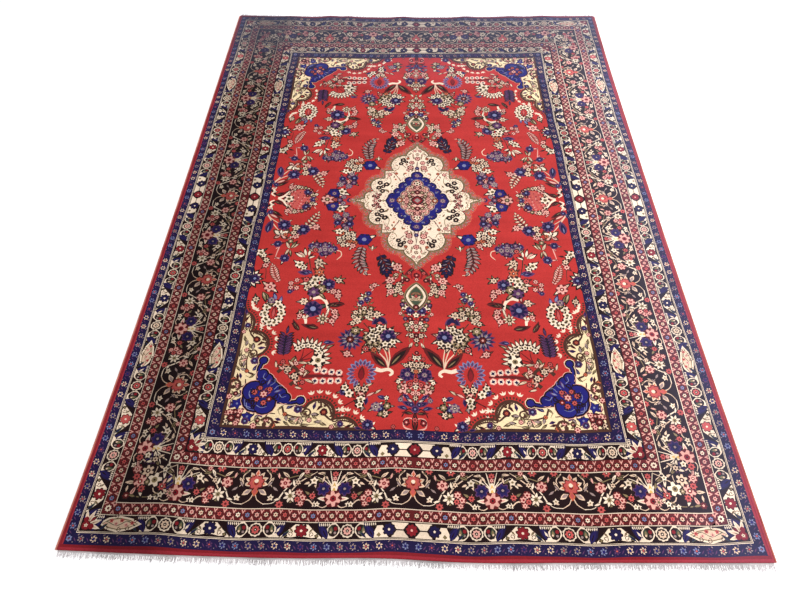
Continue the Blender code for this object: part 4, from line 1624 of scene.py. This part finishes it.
# -- what lies on the field's two middle lines
side = placed([("rose", ring(60, sides=16, tall=1.15))], -612, 0)
for radius in (14, 28, 42, 56):
    dots = [[(dye, ring(4, sides=4))] for dye in ("orange", "maroon", "pink", "madder")]
    side += comb(ring(radius, sides=16, tall=1.15) + (-612, 0), 0, 13, dots)
side += placed(wreath(62, 74, 24, leaf(30, 12, ("dark", "olive"))), -612, 0)
side += placed(wreath(70, 84, 11, bloom("cream", 13)) + wreath(70, 84, 11, bloom("pink", 13), 16), -612, 0)
half = stalks({
    "dark": (((-768, 60), (-744, 30), (-716, 18), (-690, 44), (-662, 62)),),
    "ivory": (
        ((-724, 0), (-700, 14), (-684, 34), (-672, 52)),
        ((-764, 74), (-750, 50), (-762, 30), (-742, 14)),
    ),
}, 13.0)
half += fronds({
    "dark leaf": ((-744, 84, -50, 76), (-742, 20, -60, 60), (-470, 20, 30, 30)),
    "pink leaf": ((-680, 92, -40, 40), (-766, 60, -40, 36), (-520, 70, 150, 30)),
    "ivory leaf": ((-764, 40, -70, 36), (-752, 60, -20, 30)),
})
half += heads({
    "pink": ((-664, 84, 17), (-645, 92, 12)), "ivory": ((-397, 60, 24), (-528, 34, 11)),
    "cream": ((-548, 30, 13), (-628, 88, 14)), "olive": ((-590, 82, 11), (-540, 20, 10)),
    "navy": ((-574, 52, 20), (-750, 98, 14)),
    "blue": ((-435, 45, 29),), "maroon": ((-560, 66, 11), (-574, 26, 10), (-440, 14, 12)),
    "lilac": ((-435, 45, 12), (-384, 22, 14)),
})
side += mirrored(half, False, True)
side += heads({
    "ivory": ((-668, 0, 25), (-552, 0, 10)), "navy": ((-540, 0, 17), (-352, 0, 15)),
    "pink": ((-469, 0, 31),), "olive": ((-469, 0, 13),), "purple": ((-404, 0, 18),),
    "orange": ((-526, 0, 10),), "rose": ((-428, 0, 12),),
})
side += stem(np.array(((-345, 0), (-318, 0), (-284, 0))), 12, "ivory", 1.8)

half = stalks({
    "crimson": (((0, -424), (30, -452), (56, -490), (66, -540)), ((4, -440), (26, -470), (20, -505))),
}, 16.0)
half += stalks({
    "olive": (
        ((52, -392), (26, -412), (2, -440)), ((60, -460), (84, -480), (92, -505)),
        ((50, -640), (66, -690), (40, -760), (30, -850)),
    ),
    "dark": (((8, -446), (32, -462), (44, -486)),),
}, 5.0)
half += fronds({
    "dark leaf": ((10, -442, -128, 62), (34, -650, -30, 34), (30, -770, -60, 34), (20, -700, -80, 40)),
    "brown leaf": ((40, -500, -60, 40), (50, -540, -100, 34), (46, -712, -70, 34), (40, -600, -70, 30)),
    "ivory leaf": ((58, -690, 14, 44), (26, -800, -130, 34), (40, -745, 150, 38), (18, -846, -160, 34)),
    "cream leaf": ((22, -850, -150, 34), (30, -660, -90, 34), (66, -560, -20, 30)),
    "navy leaf": ((14, -690, -60, 34),),
})
half += heads({
    "ivory": ((52, -664, 17), (30, -700, 12), (20, -748, 13)),
    "cream": ((34, -780, 13), (20, -814, 14), (68, -590, 12)),
    "maroon": ((44, -512, 12), (26, -728, 12), (66, -520, 10), (36, -806, 8)),
    "navy": ((26, -682, 19), (40, -636, 11)), "olive": ((44, -760, 12), (24, -786, 10), (58, -630, 11)),
    "pink": ((16, -770, 10), (50, -606, 12), (70, -700, 10)),
    "purple": ((62, -652, 12), (48, -728, 11)), "rose": ((34, -470, 10), (62, -610, 8)),
})
pendant = mirrored(half)
drop = fourfold(arcs((Knot(-46, 0, 0.10), Knot(0, -70, 0)), 6))
for away, dye in ((11, "olive"), (5, "brown"), (0, "ivory"), (-10, "olive"), (-14, "green")):
    pendant += placed([(dye, grown(drop, away))], 0, -604)
pendant += placed(fan(5, 150, 34, 12, ("cream", "olive")), 0, -628)
pendant += placed(fan(3, 110, 30, 11, ("crimson", "olive")), 0, -580, 180)
pendant += heads({
    "ivory": ((0, -706, 16), (0, -786, 10)), "rose": ((0, -604, 9), (0, -744, 13)),
    "maroon": ((0, -664, 14), (0, -812, 11)), "cream": ((0, -836, 13), (0, -766, 12)),
    "olive": ((0, -860, 9),), "crimson": ((0, -484, 14),), "pink": ((0, -508, 10),),
})

half = stalks({
    "pink": (
        ((6, -1040), (30, -1086), (52, -1110)),
        ((14, -1250), (44, -1236), (40, -1204), (14, -1200), (8, -1216)),
        ((4, -1120), (2, -1050), (20, -1000)),
    ),
    "dark": (((0, -1180), (20, -1160), (40, -1170), (52, -1196)), ((4, -1246), (10, -1220), (4, -1180))),
}, 7.0)
half += fronds({
    "grey leaf": ((36, -1024, -70, 44), (36, -1020, -110, 40), (40, -1030, -150, 36), (10, -1136, -40, 44)),
    "navy leaf": ((10, -1148, -58, 50), (20, -1010, -20, 44), (30, -1160, -72, 44), (24, -1118, -44, 40)),
    "cream leaf": ((14, -976, -30, 46), (34, -968, -60, 40), (8, -944, -10, 44), (66, -1060, 170, 30)),
    "dark leaf": ((44, -1030, -95, 50), (52, -1096, -150, 40), (6, -1180, -80, 50), (20, -1200, -120, 34)),
    "ivory leaf": ((50, -1030, -80, 34), (48, -1044, -120, 30), (20, -1090, -60, 34)),
})
half += heads({
    "navy": ((36, -1004, 29), (16, -1140, 12)), "lilac": ((36, -1004, 12), (60, -1120, 11)),
    "pink": ((52, -1070, 23), (12, -1090, 11)), "cream": ((20, -958, 18), (10, -984, 14), (44, -962, 12)),
    "ivory": ((8, -924, 12), (72, -1040, 11)), "rose": ((22, -1050, 12), (86, -1238, 9), (28, -928, 9)),
    "olive": ((68, -1062, 10), (28, -1080, 10)), "crimson": ((34, -1218, 13),),
})
plant = stem(np.array(((0, -1250), (0, -1150), (0, -960))), 12, "maroon", 0.3) + mirrored(half)
plant += heads({
    "cream": ((0, -960, 17), (0, -1112, 12)), "orange": ((0, -990, 11),), "navy": ((0, -1160, 15),),
    "rose": ((0, -1030, 13), (0, -1206, 12)), "ivory": ((0, -1062, 13),), "maroon": ((0, -900, 9),),
})

halo = [("olive", grown(edge, 11))]
for away, dyes in (
    (15, ("olive", "grey")), (21, ("olive", "grey", "rose")), (27, ("olive", "rose", "grey")),
    (34, ("rose", "orange")),
):
    halo += comb(grown(edge, away), 0, 10.5, [[(dye, ring(4.8, sides=4))] for dye in dyes])
blossom = placed(fan(3, 80, 21, 9, ("ivory",)))
frame_comb = comb(lobe_line, 20, 25, [blossom], False)
frame_comb += comb(lobe_line, 0, 12, [leaf(15, 10, ("brown",))], False)

motifs = into_corners(both_ways(frame_comb) + both_ways(scroll) + blob)
motifs += mirrored(quarter, along=True) + mirrored(side)
motifs += mirrored(pendant + plant, False, True) + halo
cut_out = [(None, rim)] + [(None, outline) for _, outline in grounds]
xs, ys = (stations(reach) for reach in to_corner)
for name, end in (("field_front", -1), ("field_back", 1)):
    sides = np.abs(ys[ys * end > 5])
    ground = [(x, 0) for x in xs] + [(to_corner[0], y) for y in np.sort(sides)[:-1]]
    ground += [(x, to_corner[1]) for x in xs[::-1]] + [(-to_corner[0], y) for y in np.sort(sides)[-2::-1]]
    ground = [("madder", np.array(ground) * (1, end)), *cut_out]
    inlay(name, ground, motifs, pile, seed=11)

# ---------------------------------------------------------------- side cords
# Each long side is bound with red wool, wrapped round a thin bundle of warps into a cord.
# The cord is a tube along the side whose radius swells at each wrap.
CORD_RADIUS, CORD_GAP = 0.0045, 0.0003
WRAP_PITCH, WRAP_SWELL = 0.0052, 0.0005
CORD_POINTS = 90


def line_object(name, points):
    """A line through points, for a node tree to grow something from."""
    mesh = bpy.data.meshes.new(name)
    mesh.from_pydata([tuple(p) for p in points], [(k, k + 1) for k in range(len(points) - 1)], [])
    return in_scene(name, mesh)


def grown_from(line, tree, values, name):
    """Runs a node tree on an object with the named inputs, and keeps the mesh it makes."""
    modifier = line.modifiers.new(tree.name, "NODES")
    modifier.node_group = tree
    for socket in tree.interface.items_tree:
        if socket.name in values:
            modifier[socket.identifier] = values[socket.name]
    graph = bpy.context.evaluated_depsgraph_get()
    mesh = bpy.data.meshes.new_from_object(line.evaluated_get(graph))
    bpy.data.objects.remove(line)
    return in_scene(name, mesh)


def tube_along(tree, curve, sides, radius, material, **values):
    """A capped tube round a curve, in its material."""
    circle = add_node(tree, "GeometryNodeCurvePrimitiveCircle", Resolution=sides, Radius=radius)
    profile = circle.outputs["Curve"]
    tube = add_node(
        tree, "GeometryNodeCurveToMesh", Curve=curve, Profile_Curve=profile, Fill_Caps=True, **values
    )
    shape = tube.outputs["Mesh"]
    dress = add_node(tree, "GeometryNodeSetMaterial", Geometry=shape, Material=material)
    return dress.outputs["Geometry"]


def cord_tree(material):
    """A wrapped cord along the incoming line."""
    takes = (
        ("Geometry", "Geometry"), ("Radius", "Float", 0.0045), ("Wrap pitch", "Float", 0.005),
        ("Swell", "Float", 0.0005),
    )
    gives = (("Geometry", "Geometry"),)
    tree, given, end = new_group("Wrapped cord", "GeometryNodeTree", takes, gives)
    curve = add_node(tree, "GeometryNodeMeshToCurve", Mesh=given["Geometry"]).outputs["Curve"]
    step = calculated(tree, "DIVIDE", given["Wrap pitch"], 3)
    finer = add_node(tree, "GeometryNodeResampleCurve", mode="LENGTH", Curve=curve, Length=step)
    ahead = tree.nodes.new("GeometryNodeSplineParameter").outputs["Length"]
    wraps = calculated(tree, "DIVIDE", ahead, given["Wrap pitch"])
    wave = calculated(tree, "SINE", calculated(tree, "MULTIPLY", wraps, 2 * math.pi))
    swell = calculated(tree, "MULTIPLY_ADD", wave, given["Swell"], given["Radius"])
    line = finer.outputs["Curve"]
    sized = add_node(tree, "GeometryNodeSetCurveRadius", Curve=line, Radius=swell)
    fed(tree, end, tube_along(tree, sized.outputs["Curve"], 6, 1.0, material, Scale=swell))
    return tree


overcast, tree, shader = new_material("overcast wool")
place = tree.nodes.new("ShaderNodeTexCoord").outputs["Object"]
lots = noise(tree, place, Scale=9.0, Detail=3.0)
shades = ramp(tree, lots, ((0.35, (0.400, 0.085, 0.060)), (0.68, (0.640, 0.210, 0.150))))
fibres = bumped(tree, noise(tree, place, Scale=900.0, Detail=2.0), 0.5, 0.0006)
fed(
    tree, shader, Base_Color=shades, Roughness=0.85, Sheen_Weight=0.08,
    Sheen_Tint=(0.85, 0.88, 1.0, 1), Normal=fibres,
)
tree = cord_tree(overcast)
for side, sign in (("left", -1), ("right", 1)):
    low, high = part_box(f"selvedge_{side}")
    ys = np.linspace(low[1] + 0.001, high[1] - 0.001, CORD_POINTS)
    xs = reached(side, ys) + sign * (CORD_GAP + CORD_RADIUS + WRAP_SWELL / 2)
    points = np.column_stack((xs, ys, np.full(CORD_POINTS, CORD_RADIUS)))
    line = line_object(f"{side} side", points)
    values = {
        "Radius": CORD_RADIUS - WRAP_SWELL / 2, "Wrap pitch": WRAP_PITCH, "Swell": WRAP_SWELL / 2,
    }
    cord = grown_from(line, tree, values, f"{side}_cord")
    cord.data.shade_smooth()
    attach(cord, "root")
    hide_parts(f"selvedge_{side}")

# ---------------------------------------------------------------- woven end strips
# A narrow strip of bare cotton weave ends the pile at the front and the back. It is the
# foundation's own warps with a few more wefts, and it holds the last row of knots.
STRIP_DEEP, STRIP_HIGH, STRIP_GAP = 0.0052, 0.0028, 0.0002
STRIP_POINTS = 160                          # along an end, so that it follows the ripples
END_PLACE = 1.71                            # how far from the middle an end's width is taken
cotton, tree, shader = new_material("cotton")
place = tree.nodes.new("ShaderNodeTexCoord").outputs["Object"]
stains = noise(tree, place, Scale=7.0, Detail=4.0)
shades = ramp(tree, stains, ((0.3, (0.330, 0.300, 0.310)), (0.6, (0.680, 0.640, 0.660))))
twist = bumped(tree, noise(tree, place, Scale=1200.0, Detail=1.0), 0.4, 0.0004)
fed(tree, shader, Base_Color=shades, Roughness=0.9, Sheen_Weight=0.2, Normal=twist)
END_SIGNS = {"front": -1, "back": 1}


def end_line(side, inset, away):
    """Points along an end of the rug, this far outside its last row of knots."""
    corner = np.array([END_SIGNS[side] * END_PLACE])
    left, right = (reached(name, corner)[0] for name in ("left", "right"))
    xs = np.linspace(left + inset, right - inset, STRIP_POINTS)
    ys = reached(side, xs) + END_SIGNS[side] * away
    return np.column_stack((xs, ys, lift(xs, ys)))


strips = []
for side in END_SIGNS:
    near, far = (end_line(side, 0.001, away) for away in (STRIP_GAP, STRIP_GAP + STRIP_DEEP))
    rows = []
    for line, up in ((near, 0.0), (near, STRIP_HIGH), (far, STRIP_HIGH * 0.7), (far, 0.0)):
        rows.append(line + (0, 0, up))
    starts = [row * STRIP_POINTS for row in range(4)]
    faces = []
    for k in range(STRIP_POINTS - 1):
        for a, b in zip(starts, starts[1:] + starts[:1]):
            faces.append((a + k, a + k + 1, b + k + 1, b + k))
    faces += [tuple(starts), tuple(a + STRIP_POINTS - 1 for a in starts[::-1])]
    faces = faces if side == "back" else [face[::-1] for face in faces]
    strip = add_mesh(f"{side}_strip", np.concatenate(rows), faces, cotton)
    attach(strip, "root")
    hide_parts(f"fringe_{side}")
    strips.append(strip)

# ---------------------------------------------------------------- fringe
# The warps run on past the strip as loose cotton threads. They were cut short, and they
# lie on the floor at slightly different lengths and angles.
Fringe = collections.namedtuple("Fringe", "side threads shortest longest seed")
FRINGES = (
    Fringe(side="front", threads=1900, shortest=0.015, longest=0.026, seed=3),
    Fringe(side="back", threads=1500, shortest=0.022, longest=0.034, seed=8),
)
THREAD_RADIUS = 0.00055
FRINGE_TURN, FRINGE_BEND = 0.30, 0.006      # how far a thread turns and bends sideways at most
FRINGE_LIFT = 0.0019                        # the threads leave the strip at this height


def fringe_tree(material):
    """Loose threads that start on the incoming line and come down to the floor."""
    takes = (
        ("Geometry", "Geometry"), ("Threads", "Int", 1500), ("Shortest", "Float", 0.015),
        ("Longest", "Float", 0.025), ("Facing", "Float", 0.0), ("Seed", "Int", 1),
    )
    gives = (("Geometry", "Geometry"),)
    tree, given, end = new_group("Fringe", "GeometryNodeTree", takes, gives)

    def chance(number, low, high):
        """A random number for each thread; a Random Value node's floats come third and fourth."""
        seed = calculated(tree, "ADD", given["Seed"], 17 * number)
        feeds = (None, None, low, high)
        node = add_node(tree, "FunctionNodeRandomValue", *feeds, data_type="FLOAT", Seed=seed)
        return node.outputs[1]

    curve = add_node(tree, "GeometryNodeMeshToCurve", Mesh=given["Geometry"]).outputs["Curve"]
    count = given["Threads"]
    spread = add_node(tree, "GeometryNodeCurveToPoints", mode="COUNT", Curve=curve, Count=count)
    thread = add_node(
        tree, "GeometryNodeCurveQuadraticBezier", Resolution=3,
        Start=(0, 0, 0), Middle=(1.0, 0.5, -0.75), End=(0, 1, -1),
    )
    place = tree.nodes.new("GeometryNodeInputPosition").outputs["Position"]
    height = add_node(tree, "ShaderNodeSeparateXYZ", place).outputs["Z"]
    drop = calculated(tree, "SUBTRACT", height, THREAD_RADIUS)
    tuft = ranged(tree, noise(tree, place, Scale=60.0, Detail=1.0), 0.3, 0.7, 0.7, 1.1)
    length = chance(0, given["Shortest"], given["Longest"])
    uneven = calculated(tree, "MULTIPLY", length, tuft)
    bend = chance(1, -FRINGE_BEND, FRINGE_BEND)
    turn = chance(2, -FRINGE_TURN, FRINGE_TURN)
    scale = add_node(tree, "ShaderNodeCombineXYZ", bend, uneven, drop)
    facing = calculated(tree, "ADD", turn, given["Facing"])
    rotation = add_node(tree, "ShaderNodeCombineXYZ", Z=facing)
    copies = add_node(
        tree, "GeometryNodeInstanceOnPoints", Points=spread.outputs["Points"],
        Instance=thread.outputs["Curve"], Rotation=rotation.outputs[0], Scale=scale.outputs[0],
    )
    real = add_node(tree, "GeometryNodeRealizeInstances", copies.outputs["Instances"])
    threads = tube_along(tree, real.outputs["Geometry"], 3, THREAD_RADIUS, material)
    fed(tree, end, threads)
    return tree


tree = fringe_tree(cotton)
for row in FRINGES:
    line = end_line(row.side, 0.002, STRIP_GAP + STRIP_DEEP * 0.7)
    line = line_object(f"{row.side} end", line + (0, 0, FRINGE_LIFT))
    values = {
        "Threads": row.threads, "Shortest": row.shortest, "Longest": row.longest,
        "Facing": math.pi if row.side == "front" else 0.0, "Seed": row.seed,
    }
    fringe = grown_from(line, tree, values, f"{row.side}_fringe")
    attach(fringe, "root")
    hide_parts(f"fringe_{row.side}")

# ---------------------------------------------------------------- the whole cloth
# The rug is one sheet of cloth, laid flat; everything knotted, bound or loose goes with it.
xs, ys = SLAB["xs"], SLAB["ys"]

# ---------------------------------------------------------------- floor and light
# A plain pale floor under soft light: a wide warm lamp over the right side, and a cool one
# beyond the back right corner, whose sheen greys the far pile as a window does.
floor = add_mesh(
    "floor", [(-9, -7, 0), (9, -7, 0), (9, 11, 0), (-9, 11, 0)], [(0, 1, 2, 3)],
    bpy.data.materials.new("pale floor"),
)
floor.data.materials[0].use_nodes = True
shader = floor.data.materials[0].node_tree.nodes["Principled BSDF"]
shader.inputs["Base Color"].default_value = (0.93, 0.93, 0.94, 1)
shader.inputs["Roughness"].default_value = 0.8
shader.inputs["Emission Color"].default_value = (1, 1, 1, 1)
shader.inputs["Emission Strength"].default_value = 0.35

Lamp = collections.namedtuple("Lamp", "name place aim size power colour")
LAMPS = (
    Lamp("overhead", (2.1, -0.8, 3.7), (0.3, -0.4, 0.0), 3.4, 150.0, (1.0, 0.97, 0.94)),
    Lamp("window", (2.8, 4.8, 2.6), (1.0, 1.0, 0.0), 2.4, 230.0, (0.74, 0.82, 1.0)),
)
for row in LAMPS:
    light = bpy.data.lights.new(row.name, "AREA")
    light.size = row.size
    light.energy = row.power
    light.color = row.colour
    lamp = in_scene(row.name, light)
    lamp.location = row.place
    lamp.rotation_euler = (Vector(row.aim) - Vector(row.place)).to_track_quat("-Z", "Y").to_euler()
world = bpy.data.worlds.new("studio")
world.use_nodes = True
world.node_tree.nodes["Background"].inputs["Color"].default_value = (1, 1, 1, 1)
world.node_tree.nodes["Background"].inputs["Strength"].default_value = 0.52
bpy.context.scene.world = world
